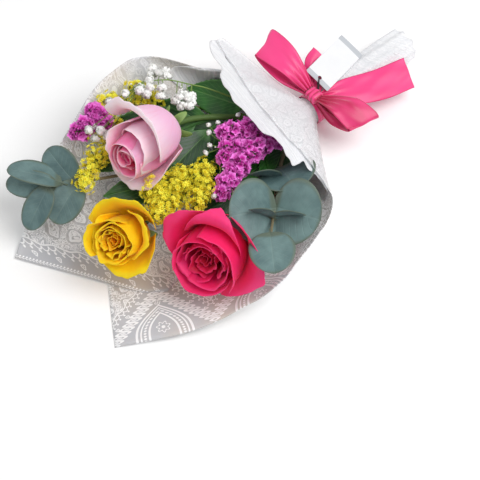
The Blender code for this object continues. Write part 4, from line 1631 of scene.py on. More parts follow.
def puff_floret(radius: float, petals: int) -> Shape:
    """A tiny double flower: a loose ball of small crumpled petals, facing +Z.

    Args:
        radius: the ball's radius.
        petals: how many petals it has.

    Returns:
        The ball, painted darker between its petals as painted shade.
    """
    ways = sphere_spread(petals)
    tilted = unit(ways + 0.55 * np.roll(ways, 7, axis=0))
    origins = ways * radius * (0.52 + 0.16 * np.sin(5.0 * np.arange(petals)))[:, None]
    side, v = np.meshgrid(np.linspace(-1, 1, 4), np.linspace(-1, 1, 4))
    rise = 0.55 - 0.35 * side**2 - 0.25 * v**2 + 0.35 * np.sin(3.5 * side + 3 * v)
    petal = side_by_side(side, v * 0.8, rise) * radius * 0.42
    core, u = np.meshgrid(np.linspace(0, FULL_TURN, 9), np.linspace(0, math.pi, 6))
    ball = around(core, np.sin(u), -np.cos(u)) * radius * 0.55
    number = np.arange(petals)
    crowd = Shape.grid(petal, tone=0.95 - 0.3 * np.abs(side * v)).placed(
        facing_frames(tilted, 2.4 * number), origins, np.ones(petals), 0.1 * np.sin(3.0 * number),
    )
    # The core ball's low tone is painted shade between the petals.
    return Shape.joined([crowd, Shape.grid(ball, tone=0.4)])


def facing_frames(ways: Array, spins: Array) -> Array:
    """Frames whose z is each way, each turned round it by its spin.

    Args:
        ways: one direction for each frame.
        spins: one angle in radians for each.

    Returns:
        Three by three matrices of columns.
    """
    made = []
    for way, spin in zip(ways, spins):
        level = frame_towards(way, (0.31, 0.12, 0.94))
        cosine, sine = math.cos(spin), math.sin(spin)
        made.append(level @ np.array([[cosine, -sine, 0], [sine, cosine, 0], [0, 0, 1]]))
    return np.array(made)


@dataclass(frozen=True)
class Spray(Grown):
    """A stem with a crowd of small flowers round a line.

    head gives points through the crowd, half_width its girth and lump the size of one group of
    flowers. The groups along head sit where its solid's lumps do, and branches add more beside them.
    """

    head: tuple[Point, ...]
    half_width: float
    lump: float
    floret: Shape
    size: Pair
    spacing: float
    slot: Slot
    proud: float = 0.6
    branches: tuple[tuple[Point, ...], ...] = ()
    twig: float = 0.45

    def lumps(self, line: Array, share: float = 1.0) -> tuple[Array, Array, Array]:
        """The groups of flowers along a line.

        Args:
            line: the line's points.
            share: their girth as a share of the spray's.

        Returns:
            Their middles, their radii, and the nearest point of the line for each.
        """
        centres, radii, roots = [], [], []
        for i, centre in enumerate(line):
            t = i / (len(line) - 1)
            girth = share * self.half_width * (0.45 + 0.55 * math.sin(math.pi * (0.15 + 0.75 * t)))
            ahead = unit(line[min(i + 1, len(line) - 1)] - line[max(i - 1, 0)])
            side = np.array(Vector(ahead).orthogonal().normalized())
            for k in range(4):
                turn = GOLDEN_ANGLE * (3 * i + k)
                round_it = side * math.cos(turn) + np.cross(ahead, side) * math.sin(turn)
                far = girth * (0.80 + 0.35 * math.sin(5.0 * i + 2.0 * k)) - 0.4 * self.lump if k else 0.0
                if k or i % 2:
                    centres.append(centre + round_it * far)
                    radii.append(self.lump * (0.85 + 0.3 * math.sin(3.0 * i + k)))
                    roots.append(centre)
        return np.array(centres), np.array(radii), np.array(roots)

    def build(self, finish: Material) -> None:
        """Makes the spray.

        Args:
            finish: the material of its flowers and twigs.
        """
        stem = self.stem()
        rng = np.random.default_rng(len(self.name) + int(abs(stem.across) * 100))
        main = smooth_route(self.head, 4)
        sides = [smooth_route(branch, 3) for branch in self.branches]
        groups = [self.lumps(main), *(self.lumps(line, 0.7) for line in sides)]
        centres, radii, roots = (np.concatenate(parts) for parts in zip(*groups))
        places, ways = [], []
        for k, (centre, radius) in enumerate(zip(centres, radii)):
            count = max(6, int(4 * math.pi * radius**2 / self.spacing**2))
            for way in sphere_spread(count):
                way = unit(way + rng.normal(0, 0.18, 3))
                place = centre + way * (radius + rng.uniform(-0.9, self.proud))
                apart = np.linalg.norm(centres - place, axis=1) - radii
                apart[k] = 1.0
                if apart.min() > -0.6 and place[2] > 4:
                    places.append(place)
                    ways.append(unit(way + 0.35 * unit(place - roots[k])))
        count = len(places)
        crowd = self.floret.placed(
            facing_frames(np.array(ways), rng.uniform(*SPINS, count)), np.array(places),
            rng.uniform(*self.size, count), rng.uniform(-0.28, 0.10, count),
        )
        twigs = [
            sweep(smooth_route([root, blend(root, centre, 0.55) + (0, 0, 0.4), centre], 3), self.twig, 5, 0.0)
            for centre, root in zip(centres, roots) if np.linalg.norm(centre - root) > 1
        ]
        route = stem.route()
        twigs += [sweep(smooth_route([main[0], *line[::4], line[-1]], 4), 0.7, 6, 0.0) for line in sides]
        thick = np.append(np.full(len(route), stem.radius), np.linspace(stem.radius, 0.8, len(main)))
        stalk = sweep(np.vstack([route, main]), thick, 8, 0.0)
        whole = Shape.joined([crowd, stalk, *twigs])
        make_piece(self.name, whole, finish, [self.name], weld=False)


@dataclass(frozen=True)
class BabysBreath(Grown):
    """A branching stem of gypsophila with a small white ball at the end of each twig.

    head is the line that the twigs leave, and balls are the flowers' places.
    """

    head: tuple[Point, ...]
    balls: tuple[Point, ...]
    size: Pair

    def build(self, finish: Material) -> None:
        """Makes the stem, its twigs and the flowers.

        Args:
            finish: the material of all of it.
        """
        rng = np.random.default_rng(len(self.balls))
        line = smooth_route(self.head, 5)
        places = np.array(self.balls, float)
        ways, twigs = [], []
        late = 0.3 * np.arange(len(line))[::-1]
        for place in places:
            root = line[int(np.argmin(np.linalg.norm(line - place, axis=1) + late))]
            elbow = blend(root, place, 0.5) + (0, 0, -2.5)
            route = smooth_route([root, elbow, place], 5)
            ways.append(unit(unit(route[-1] - route[-2]) + np.array(TOWARDS_VIEWER) * 0.8))
            twigs.append(sweep(route, np.linspace(0.5, 0.3, len(route)), 6, 0.0))
            if rng.random() < 0.6:
                bud = route[5] + rng.normal(0, 2.2, 3) + (0, 0, 2.5)
                thread = np.array([route[4], blend(route[4], bud, 0.6) + (0, 0, -0.5), bud])
                ball = np.array([bud - (0, 0, 0.6), bud, bud + (0, 0, 0.9)])
                twigs += [sweep(thread, 0.25, 5, 0.0), sweep(ball, [0.5, 1.1, 0.6], 7, 0.5)]
        lobes = np.vstack([places, places + rng.normal(0, 0.42, places.shape) * self.size[0]])
        puffs = puff_floret(1.0, 34).placed(
            facing_frames(np.array(ways * 2), rng.uniform(*SPINS, len(lobes))), lobes,
            np.append(rng.uniform(*self.size, len(places)), rng.uniform(*self.size, len(places)) * 0.72),
            rng.uniform(-0.05, 0.1, len(lobes)),
        )
        route = np.vstack([self.stem().route(), line])
        radii = np.linspace(self.stem().radius, 0.5, len(route)) * np.linspace(1.0, 0.9, len(route))
        whole = Shape.joined([puffs, sweep(route, radii, 8, 0.0), *twigs])
        make_piece(self.name, whole, finish, [self.name], weld=False)


# -------- wrap
FLARE_START = 9.0
FLARE_END_ROW = 1.25
COLLAR_LENGTH = 24.0
TAIL_LENGTH = 124.0
TAIL_JAG = 1.2
TISSUE_FLOOR = 0.4
TISSUE_RADIUS = 12.1
SHEET_PITCH = 1.2
TISSUE_JOINT = 262.0
GATHERS = 19
TAIL_PLEATS = 11
LAP_ANGLE = 326
BACKED_FROM, BACKED_SPAN = 352, 40


@dataclass(frozen=True)
class EdgeKey:
    """A ray of a film: its angle round the tie, its edge point, how fast it sinks and rises."""

    angle: float
    edge: Point
    sink: float = 4.0
    rise: float = 2.4
    corner: bool = False


@dataclass(frozen=True)
class Film:
    """A film that is gathered round the tie and flares out to its free edge, ray by ray.

    ring is its radius at the tie and floor how high it lies on the table. print_angles are the
    corner and a further point of the edge that the printed border runs along.
    """

    name: str
    keys: tuple[EdgeKey, ...]
    ring: float
    floor: float
    print_angles: Pair

    def edge_at(self, angle: float) -> tuple[Array, float, float]:
        """The edge point, sink and rise at an angle, smooth except at the corners.

        Args:
            angle: the ray's angle round the tie.

        Returns:
            The point, the sink and the rise.
        """
        keys = self.keys
        i = next((k for k in range(len(keys) - 1) if angle <= keys[k + 1].angle), len(keys) - 2)
        span = keys[i + 1].angle - keys[i].angle
        t = (angle - keys[i].angle) / span
        start, end = np.array(keys[i].edge, float), np.array(keys[i + 1].edge, float)

        def run(k: int) -> Array:
            """The edge's direction at key k over this span: the chord's at a corner.

            Args:
                k: the key's number.

            Returns:
                The direction, as long as the span.
            """
            if keys[k].corner:
                return end - start
            before, after = keys[k - 1], keys[k + 1]
            return (np.array(after.edge) - np.array(before.edge)) * span / (after.angle - before.angle)

        point = (
            start * (2 * t**3 - 3 * t * t + 1) + run(i) * (t**3 - 2 * t * t + t)
            + end * (3 * t * t - 2 * t**3) + run(i + 1) * (t**3 - t * t)
        )
        sink, rise = blend(keys[i].sink, keys[i + 1].sink, t), blend(keys[i].rise, keys[i + 1].rise, t)
        return point, float(sink), float(rise)

    def ray(self, angle: float, reach: Array) -> Array:
        """Points along one ray, from the tie at reach 0 to the free edge at 1.

        Args:
            angle: its angle round the tie.
            reach: how far along it each point lies.

        Returns:
            One point in each row.
        """
        edge, sink, rise = self.edge_at(angle)
        turn = math.radians(angle)
        start = np.array((self.ring * math.cos(turn), -FLARE_START, TIE_HEIGHT + self.ring * math.sin(turn)))
        points = start + (edge - start) * reach[:, None]
        near, far, share = start[2] - self.floor, edge[2] - self.floor, np.minimum(reach, 1)
        points[:, 2] = self.floor + near * (1 - share) ** sink + far * share**rise
        return points

    def angles(self, count: int, start: float | None = None, end: float | None = None) -> Array:
        """Evenly spread column angles that also meet each corner.

        Args:
            count: about how many.
            start: the first, if not the film's own.
            end: the last, if not the film's own.

        Returns:
            The angles in degrees.
        """
        first = self.keys[0].angle if start is None else start
        last = self.keys[-1].angle if end is None else end
        corners = [key.angle for key in self.keys if key.corner and first < key.angle < last]
        stops = [first, *corners, last]
        parts = [
            np.linspace(a, b, max(2, round(count * (b - a) / (last - first))), endpoint=False)
            for a, b in zip(stops, stops[1:])
        ]
        return np.append(np.concatenate(parts), last)

    def flat_map(self, angles: Array) -> Callable[[Array, int], Array]:
        """The sheet laid flat, ray by ray, with its printed corner at the origin.

        Args:
            angles: the columns' angles.

        Returns:
            A function from lengths along a column and the column's number to flat points in mm.
        """
        reach = np.linspace(0, 1, 60)
        rays = [self.ray(angle, reach) for angle in angles]
        lengths = [float(steps_along(ray).sum()) for ray in rays]
        turns = [0.0]
        for a, b, length_a, length_b in zip(rays, rays[1:], lengths, lengths[1:]):
            gap = np.linalg.norm(a[-1] - b[-1])
            cosine = (length_a**2 + length_b**2 - gap**2) / (2 * length_a * length_b)
            halfway = np.linalg.norm(a[30] - b[30]) / (0.25 * (length_a + length_b))
            turns.append(turns[-1] + max(math.acos(min(1.0, max(-1.0, cosine))), 0.7 * float(halfway)))

        def polar(length: Array | float, column: int) -> Array:
            """A flat point before it is turned to the print."""
            return side_by_side(length * np.cos(turns[column]), length * np.sin(turns[column]))

        corner, along = (int(np.argmin(np.abs(angles - a))) for a in self.print_angles)
        origin = polar(lengths[corner], corner)
        x = unit(polar(lengths[along], along) - origin)
        y = np.array([-x[1], x[0]])
        if y @ (-origin) < 0:
            y = -y
        return lambda length, column: (polar(length, column) - origin) @ side_by_side(x, y)


def gathers(angle: float, reach: Array, height: Array) -> Array:
    """How far all sheets stand out at a ray: close pleats at the tie, soft folds further out.

    Args:
        angle: the ray's angle.
        reach: how far along the ray, from 0 to 1.
        height: the height above the table.

    Returns:
        Distances in mm.
    """
    turn = math.radians(angle)
    close = 0.55 * math.cos(GATHERS * turn + 0.8 * math.sin(3 * turn)) * np.exp(-(reach / 0.16) ** 2)
    broad = 1.5 * math.sin(7 * turn + 1.0) + 1.1 * math.sin(13 * turn + 2.2)
    broad = broad * smooth_step(reach / 0.5) * (1 - 0.5 * smooth_step((reach - 0.75) / 0.25))
    return close + broad * smooth_step((height - 8) / 20)


def push_out(points: Array, angle: float, distance: Array) -> Array:
    """A ray's points moved away from the stems' middle line, each by its distance."""
    turn = math.radians(angle)
    return points + np.array((math.cos(turn), 0, math.sin(turn))) * distance[:, None]


@dataclass(frozen=True)
class Wrap:
    """The two printed films and the tissue inside them."""

    left: Film
    right: Film
    left_finish: FilmFinish
    right_finish: FilmFinish
    tissue_finish: TissueFinish
    tissue_reach: tuple[Pair, ...]

    def build(self) -> None:
        for name, finish, slot, wall, shape in (
            (self.left.name, self.left_finish, Slot.FILM, Wall.FILM, self.film_shape(self.left, 110)),
            (self.right.name, self.right_finish, Slot.FILM, Wall.FILM, self.film_shape(self.right, 170)),
            ("tissue_sheet", self.tissue_finish, Slot.TISSUE, Wall.TISSUE, self.tissue_shape()),
        ):
            piece = make_piece(name, shape, finish.material(), [name], wall)

    def film_shape(self, film: Film, columns: int) -> Shape:
        """One film.

        Args:
            film: its rays.
            columns: how many columns it gets.

        Returns:
            Its surface, with UVs in metres over the flat sheet.
        """
        angles = film.angles(columns)
        reach = np.linspace(0, 1, 72) ** FLARE_END_ROW
        flat = film.flat_map(angles)
        columns_points, columns_uv, veil = [], [], []
        for i, angle in enumerate(angles):
            turn = math.radians(angle)
            ray = film.ray(angle, reach)
            ray = push_out(ray, angle, gathers(angle, reach, ray[:, 2]))
            ruffle = 0.8 * math.sin(turn * 31) * smooth_step((reach - 0.8) / 0.2)
            ray[:, 2] += ruffle * smooth_step((ray[:, 2] - 6) / 14)
            collar = np.array([
                (wide * math.cos(turn), y, TIE_HEIGHT + wide * math.sin(turn))
                for y, wide in self.collar_rows(film.ring, angle)
            ])
            column = np.vstack([collar, ray])
            far = way_along(column)
            far -= far[len(collar)]
            columns_points.append(column)
            columns_uv.append(flat(far, i) * MM)
            veil.append(np.append(np.full(len(collar), 0.6), np.full(len(reach), self.backed(angle))))
        return Shape.grid(*(np.stack(parts, axis=1) for parts in (columns_points, columns_uv, veil)))

    def backed(self, angle: float) -> float:
        """How much white tissue lies behind the right film at an angle, from 0 to 1."""
        return float(smooth_step((angle - BACKED_FROM) / BACKED_SPAN))

    def collar_rows(self, ring: float, angle: float) -> list[Pair]:
        """The collar behind the tie: places along the stems and radii there.

        Args:
            ring: the sheet's radius at the tie.
            angle: the ray's angle.

        Returns:
            Pairs of a place and a radius.
        """
        frill = 0.9 * math.cos(GATHERS * math.radians(angle)) + 0.5 * math.sin(5 * math.radians(angle))
        rows = []
        for share in np.linspace(1, 0, 9):
            y = blend(8.0, COLLAR_LENGTH, share)
            rows.append((float(y), float(ring + share * 1.0 + frill * share**1.5)))
        return rows + [(5.0, ring), (0.0, ring), (-5.0, ring)]

    def reach_at(self, angle: float) -> float:
        """How far the tissue reaches along the film's ray.

        Args:
            angle: the ray's angle.

        Returns:
            The reach, 1 at the film's edge.
        """
        for (a0, r0), (a1, r1) in zip(self.tissue_reach, self.tissue_reach[1:]):
            if angle <= a1:
                return float(blend(r0, r1, smooth_step((angle - a0) / (a1 - a0))))
        return self.tissue_reach[-1][1]

    def inside(self, film: Film, angle: float, reach: Array, distance: float) -> Array:
        """Points that far inside a film.

        Args:
            film: the film.
            angle: the ray's angle.
            reach: how far along the ray.
            distance: how far inside it, in mm.

        Returns:
            One point in each row.
        """
        a0, a1 = max(film.keys[0].angle, angle - 1), min(film.keys[-1].angle, angle + 1)
        here = film.ray(angle, reach)
        round_it = film.ray(a1, reach) - film.ray(a0, reach)
        low, high = np.maximum(reach - 0.01, 0), reach + 0.01
        outward = film.ray(angle, high) - film.ray(angle, low)
        return here + unit(np.cross(outward, round_it)) * distance

    def tissue_shape(self) -> Shape:
        """The tissue: a pleated tail round the stems, and a flare just inside the films.

        Returns:
            Its surface, with UVs in metres.
        """
        first, last = self.tissue_reach[0][0], self.tissue_reach[-1][0]
        angles = np.concatenate([
            self.left.angles(60, first, TISSUE_JOINT)[:-1], self.right.angles(130, TISSUE_JOINT, last),
        ])
        columns_points = []
        for angle in angles:
            turn = math.radians(angle)
            edge = self.reach_at(angle) * (1 + 0.012 * math.sin(turn * 23) + 0.008 * math.sin(turn * 41))
            reach = np.linspace(0, 1, 60) ** FLARE_END_ROW * edge
            film, depth = (self.left, 1.0) if angle < TISSUE_JOINT else (self.right, 2.0)
            ray = self.inside(film, angle, reach, SHEET_PITCH * depth)
            ray = push_out(ray, angle, gathers(angle, reach, ray[:, 2]))
            tail = []
            for y in np.concatenate([np.linspace(TAIL_LENGTH, 8.0, 34), np.linspace(6.0, -6.0, 4)]):
                flat = float(smooth_step((y - 8) / 80))
                pleat = 0.7 * math.cos(TAIL_PLEATS * turn + 0.02 * y) + 0.4 * math.sin(5 * turn - 0.03 * y)
                pleat *= float(smooth_step((y - 14) / 40))
                crush = 0.5 * float(waves(np.array(y / 11), np.array(turn * 3), 2.0))
                crush *= float(smooth_step((y - 20) / 30))
                wide, high = TISSUE_RADIUS + 5.0 * flat + pleat + crush, TISSUE_RADIUS + 2.4 * flat + pleat
                over = float(smooth_step((y - 26) / 30))
                lapped = math.radians(LAP_ANGLE + (angle - LAP_ANGLE) * (1 + 0.09 * over))
                outer = over * 1.2 * (angle - first) / (last - first)
                low = TIE_HEIGHT + (high + outer) * math.sin(lapped)
                jag = TAIL_JAG * (math.sin(turn * 9) - 1) if y == TAIL_LENGTH else 0.0
                tail.append(((wide + outer) * math.cos(lapped), y + jag, max(low, TISSUE_FLOOR)))
            columns_points.append(np.vstack([np.array(tail), ray]))
        points = np.stack(columns_points, axis=1)
        y = points[..., 1]
        across = np.radians(angles) * np.maximum(np.abs(y), 25) * 0.8
        return Shape.grid(points, side_by_side(across * MM, y * MM))


# -------- ribbon, card and tie band
RIBBON_RADIUS = 15.1
CAD_RIBBON_WALL = 0.7
RIBBON_HALF_WIDTH = 15.5
PINCH_REACH = 22
STRIP_STEPS = 24
KNOT_SIZE = np.array((15.0, 13.0, 10.0))
KNOT = np.array((1.0, -1.0, TIE_HEIGHT + RIBBON_RADIUS + CAD_RIBBON_WALL + 0.3 + KNOT_SIZE[2] / 2))
CORD_RADIUS = 0.6
CARD_NEAR = np.array((-7.6, 9.6, 42.5))
CARD_ALONG = unit(np.array((-0.225, 0.97, -0.10)))
CARD_ACROSS = np.array((0.91, 0.18, -0.37))
CARD_ACROSS = unit(CARD_ACROSS - CARD_ALONG * CARD_ALONG.dot(CARD_ACROSS))
CARD_NORMAL = np.cross(CARD_ACROSS, CARD_ALONG)


def on_card(across: float, along: float, below: float) -> Array:
    """A point under the card: mm from its long middle line, from its near end, and below it."""
    return CARD_NEAR + CARD_ACROSS * across + CARD_ALONG * along - CARD_NORMAL * below


@dataclass(frozen=True)
class Strip:
    """A length of ribbon along a route, gathered into pleats where pinch says so.

    across gives its width's direction and widths its width at each point of the route. pinches are the places
    along it, from 0 to 1, where it comes out of the knot. tone sets how light the strip is painted: painted
    light and shade.
    """

    name: str
    route: tuple[Point, ...]
    across: tuple[Point, ...]
    widths: tuple[float, ...]
    pinches: tuple[float, ...]
    pleats: float = 3.5
    seed: float = 0.0
    # How light the strip is painted: painted light and shade.
    tone: float = 0.72

    def shape(self) -> tuple[Shape, float]:
        """The strip's surface.

        Returns:
            The surface, with its UVs in metres across and along it, and its length in mm.
        """
        steps = 4 * STRIP_STEPS
        line, sides = smooth_route(self.route, STRIP_STEPS), unit(smooth_route(self.across, STRIP_STEPS))
        spread = smooth_route([(width,) for width in self.widths], STRIP_STEPS)[:, 0]
        at = np.linspace(0, len(line) - 1, steps + 1)
        index = np.arange(len(line))
        centre, side = (np.stack([np.interp(at, index, r[:, k]) for k in range(3)], 1) for r in (line, sides))
        width = np.interp(at, index, spread)
        ahead = unit(np.gradient(centre, axis=0))
        side = unit(side - ahead * (side * ahead).sum(1, keepdims=True) * 0.6)
        normal = unit(np.cross(ahead, side))
        far = way_along(centre)
        u = np.linspace(-1, 1, 25)
        share = at / at[-1]
        pull = np.zeros(steps + 1)
        for pinch in self.pinches:
            pull = np.maximum(pull, np.exp(-(np.abs(share - pinch) * far[-1] / PINCH_REACH) ** 2))
        phase = self.pleats * math.pi * u[None, :] + 0.5 * np.sin(u * 2 + self.seed)[None, :]
        fold = (0.16 * np.minimum(width, 12)[:, None] * pull[:, None]) * np.cos(phase)
        soft = 0.9 * waves(u[None, :] * 1.3, far[:, None] / 17, self.seed) * (1 - pull[:, None])
        sag = 1.1 * (u[None, :] ** 2) * np.sin(math.pi * share)[:, None]
        points = centre[:, None, :] + side[:, None, :] * (u[None, :, None] * width[:, None, None] / 2)
        points = points + normal[:, None, :] * (fold + soft + sag)[..., None]
        flat = side_by_side(*np.broadcast_arrays(u[None, :] * RIBBON_HALF_WIDTH * MM, far[:, None] * MM))
        # lit is painted light and shade: darker in the folds near the knot, lighter where the soft waves
        # rise.
        lit = self.tone - 0.5 * pull[:, None] * (0.5 - 0.5 * np.cos(phase)) + 0.12 * soft
        return Shape.grid(points, flat, lit), float(far[-1])


@dataclass(frozen=True)
class Bow:
    """The satin ribbon: a pleated band round the wrap, a knot, two loops and two tails."""

    strips: tuple[Strip, ...]
    finish: SatinFinish
    ribbon_width: float

    def build(self) -> None:
        """Makes the bow's pieces."""
        satin = self.finish.material()
        for strip in self.strips:
            shape, length = strip.shape()
            piece = make_piece(strip.name, shape, satin, [strip.name], Wall.RIBBON)
        make_piece("ribbon_knot", self.knot_shape(), satin, ["ribbon_knot"])
        make_piece("ribbon_band", self.band_shape(), satin, ["ribbon_band"], Wall.RIBBON)

    def knot_shape(self) -> Shape:
        """A soft wrap of ribbon with its folds running over it from back to front.

        Returns:
            Its surface.
        """
        u, v = np.meshgrid(np.linspace(0, FULL_TURN, 65), np.linspace(-1, 1, 41))
        belly = np.maximum(1 - np.abs(v) ** 5, 0) ** (1 / 5)
        fold = 1 + 0.055 * np.cos(3.2 * math.pi * v + 0.7 * np.sin(u)) + 0.025 * np.cos(7 * v + 2 * u)
        power = 0.62
        y = np.sign(np.cos(u)) * np.abs(np.cos(u)) ** power
        z = np.sign(np.sin(u)) * np.abs(np.sin(u)) ** power
        x = v * (1 + 0.03 * np.cos(2 * u))
        points = side_by_side(x, y * belly * fold, z * belly * fold) * KNOT_SIZE / 2 * 0.98 + KNOT
        # The tone paints the standing folds lighter and the hollows between them darker: painted light and
        # shade.
        return Shape.grid(points, side_by_side(v * 7 * MM, u * 8 * MM), np.clip(0.6 + 8 * (fold - 1), 0, 1))

    def band_shape(self) -> Shape:
        """The ribbon round the wrap, pulled into pleats that run round with it.

        Returns:
            Its surface.
        """
        u, v = np.meshgrid(np.linspace(0, FULL_TURN, 145), np.linspace(-1, 1, 25))
        ridge = 0.35 * np.cos(4.3 * math.pi * v + 1.1 * np.sin(u * 2)) + 0.15 * np.sin(9 * v + 3 * u)
        radius = RIBBON_RADIUS + 0.55 + ridge * (1 - v**6)
        half = 6.5 * (1 + 0.04 * np.sin(3 * u))
        points = side_by_side(radius * np.cos(u), v * half, TIE_HEIGHT + radius * np.sin(u))
        # The tone paints the ridges lighter and the troughs darker: painted light and shade.
        return Shape.grid(points, side_by_side(v * 15 * MM, u * 15 * MM), 0.55 + 0.6 * ridge)


@dataclass(frozen=True)
class GiftCard:
    """A plain card with a hole, on an elastic loop that comes from the knot."""

    length: float
    width: float
    hole_radius: float
    hole_inset: float
    corner: float
    card_finish: CardFinish
    cord_finish: CordFinish

    def outline(self) -> Array:
        """The card's rounded outline in even steps, from its middle.

        Returns:
            One point in mm in each row.
        """
        turn = np.linspace(0, FULL_TURN, 61)
        way = side_by_side(np.cos(turn), np.sin(turn))
        core = np.array((self.width, self.length)) / 2 - self.corner
        arcs = np.where(way > 0, core, -core) + way * self.corner
        arcs[-1] = arcs[0]
        far = way_along(arcs)
        even = np.linspace(0, far[-1], 241)
        return side_by_side(*(np.interp(even, far, arcs[:, k]) for k in (0, 1)))

    def build(self) -> None:
        """Makes the card and its elastic."""
        rim = self.outline() + (0, self.length / 2 - self.hole_inset)
        hole = unit(rim) * self.hole_radius
        share = np.linspace(0, 1, 14)[:, None, None]
        flat = hole[None] * (1 - share) + rim[None] * share
        x, y = flat[..., 0], flat[..., 1] + self.hole_inset
        curl = 0.5 * ((y / self.length - 0.5) ** 2) * 4 - 0.35 * (x / self.width * 2) ** 2
        pose = np.stack([CARD_ACROSS, CARD_ALONG, CARD_NORMAL])
        shape = Shape.grid(side_by_side(x, y, curl - 0.2) @ pose + CARD_NEAR, side_by_side(x, y) * MM)
        make_piece(
            "gift_card", shape, self.card_finish.material(), ["gift_card"], Wall.CARD, bevel=0.1,
        )
        x, y, z = KNOT
        back, out = y + KNOT_SIZE[1] / 2 + 0.5, CORD_RADIUS + 0.3 + 0.4
        loop = smooth_route([
            (x - 1, back, z + 3), on_card(3, -1.5, -2.4), on_card(0.6, 2.4, -out - 0.6),
            on_card(0, self.hole_inset, 0), on_card(0, 3.0, out + 0.2), (x - 2, back, z + 1.2),
        ], 12)
        cord = sweep(loop, CORD_RADIUS, 12)
        make_piece("card_elastic", cord, self.cord_finish.material(), ["card_elastic"])


@dataclass(frozen=True)
class TieBand:
    """The band round the stems. Its solid has the right shape, so it stays and gets its finish."""

    finish: CordFinish

    def dress(self) -> None:
        """Gives the solid its material."""
        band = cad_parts["tie_band"]
        band.data.materials.clear()
        band.data.materials.append(self.finish.material())
        LOG.info("tie_band: kept, dressed")


# -------- studio
LIT_POINT = (0, 0, 0.03)
KEY_PLACE, KEY_SIZE, KEY_POWER = (0.55, 0.35, 1.15), 0.9, 12.3
FILL_PLACE, FILL_SIZE, FILL_POWER = (-0.9, -0.7, 0.9), 1.6, 3.6
SENSOR_WIDTH = 36.0


@dataclass(frozen=True)
class Studio:
    """A pale floor, soft lights and the camera. Its places and lengths are in metres."""

    floor: Colour
    camera_at: Point
    look_at: Point
    lens: float
    sky: float = 0.56
    floor_reach: float = 3.0
    floor_drop: float = 0.0005

    def build(self) -> None:
        """Makes the floor, the lights and the camera."""
        scene = bpy.context.scene
        mesh = bpy.data.meshes.new("studio_floor")
        corners = [(-1, -1), (1, -1), (1, 1), (-1, 1)]
        places = [(self.floor_reach * x, self.floor_reach * y, -self.floor_drop) for x, y in corners]
        mesh.from_pydata(places, [], [(0, 1, 2, 3)])
        mesh.materials.append(FloorFinish("studio_floor", self.floor).material())
        added("studio_floor", mesh)
        world = bpy.data.worlds.new("studio_world")
        world.use_nodes = True
        sky = world.node_tree.nodes["Background"].inputs
        sky["Color"].default_value = (1.0, 1.0, 1.0, 1.0)
        sky["Strength"].default_value = self.sky
        scene.world = world
        self.add_light("key", KEY_PLACE, KEY_SIZE, KEY_POWER)
        self.add_light("fill", FILL_PLACE, FILL_SIZE, FILL_POWER)
        eye = bpy.data.cameras.new("studio_camera")
        eye.sensor_width = SENSOR_WIDTH
        eye.lens = self.lens
        scene.camera = added("studio_camera", eye)
        self.aim(scene.camera, self.camera_at, self.look_at)
        scene.view_settings.view_transform = "Standard"

    def add_light(self, name: str, place: Point, size: float, power: float) -> None:
        """One soft square light that looks at the bouquet.

        Args:
            name: its name.
            place: where it hangs, in metres.
            size: its side.
            power: its power in watts.
        """
        lamp = bpy.data.lights.new(name, "AREA")
        lamp.size = size
        lamp.energy = power
        self.aim(added(name, lamp), place, LIT_POINT)

    def aim(self, thing: bpy.types.Object, place: Point, target: Point) -> None:
        """Puts a light or camera at a place and turns it to its target."""
        thing.location = place
        thing.rotation_euler = (Vector(target) - Vector(place)).to_track_quat("-Z", "Y").to_euler()


# -------- the bouquet
def guard_petal(
    turn: float, length: float, slopes: Point, roll: float, half: float, flatness: float = 1.10,
    **form: float,
) -> Petal:
    """One of the two outer petals with the narrow root."""
    return Petal(turn, sloped_line(length, NARROW_ROOT, slopes, roll), half, flatness, HIGH_LIFT, **form)


def wide_petal(
    turn: float, length: float, slopes: Point, roll: float, half: float, flatness: float = 1.20,
    **form: float,
) -> Petal:
    """One of the two outer petals whose root is wider and lower."""
    return Petal(turn, sloped_line(length, WIDE_ROOT, slopes, roll), half, flatness, LOW_LIFT, **form)


def cupped_petal(
    turn: float, radius: float, height: float, lean: float, roll: float, half: float, trim: float = 0.12,
    corner: float = 2.4, **form: float,
) -> Petal:
    """A cupped petal inside the outer ones."""
    line = cup_line(CUP_ROOT, radius, height, lean, roll)
    return Petal(turn, line, half, lift=HIGH_LIFT, trim=trim, corner=corner, **form)


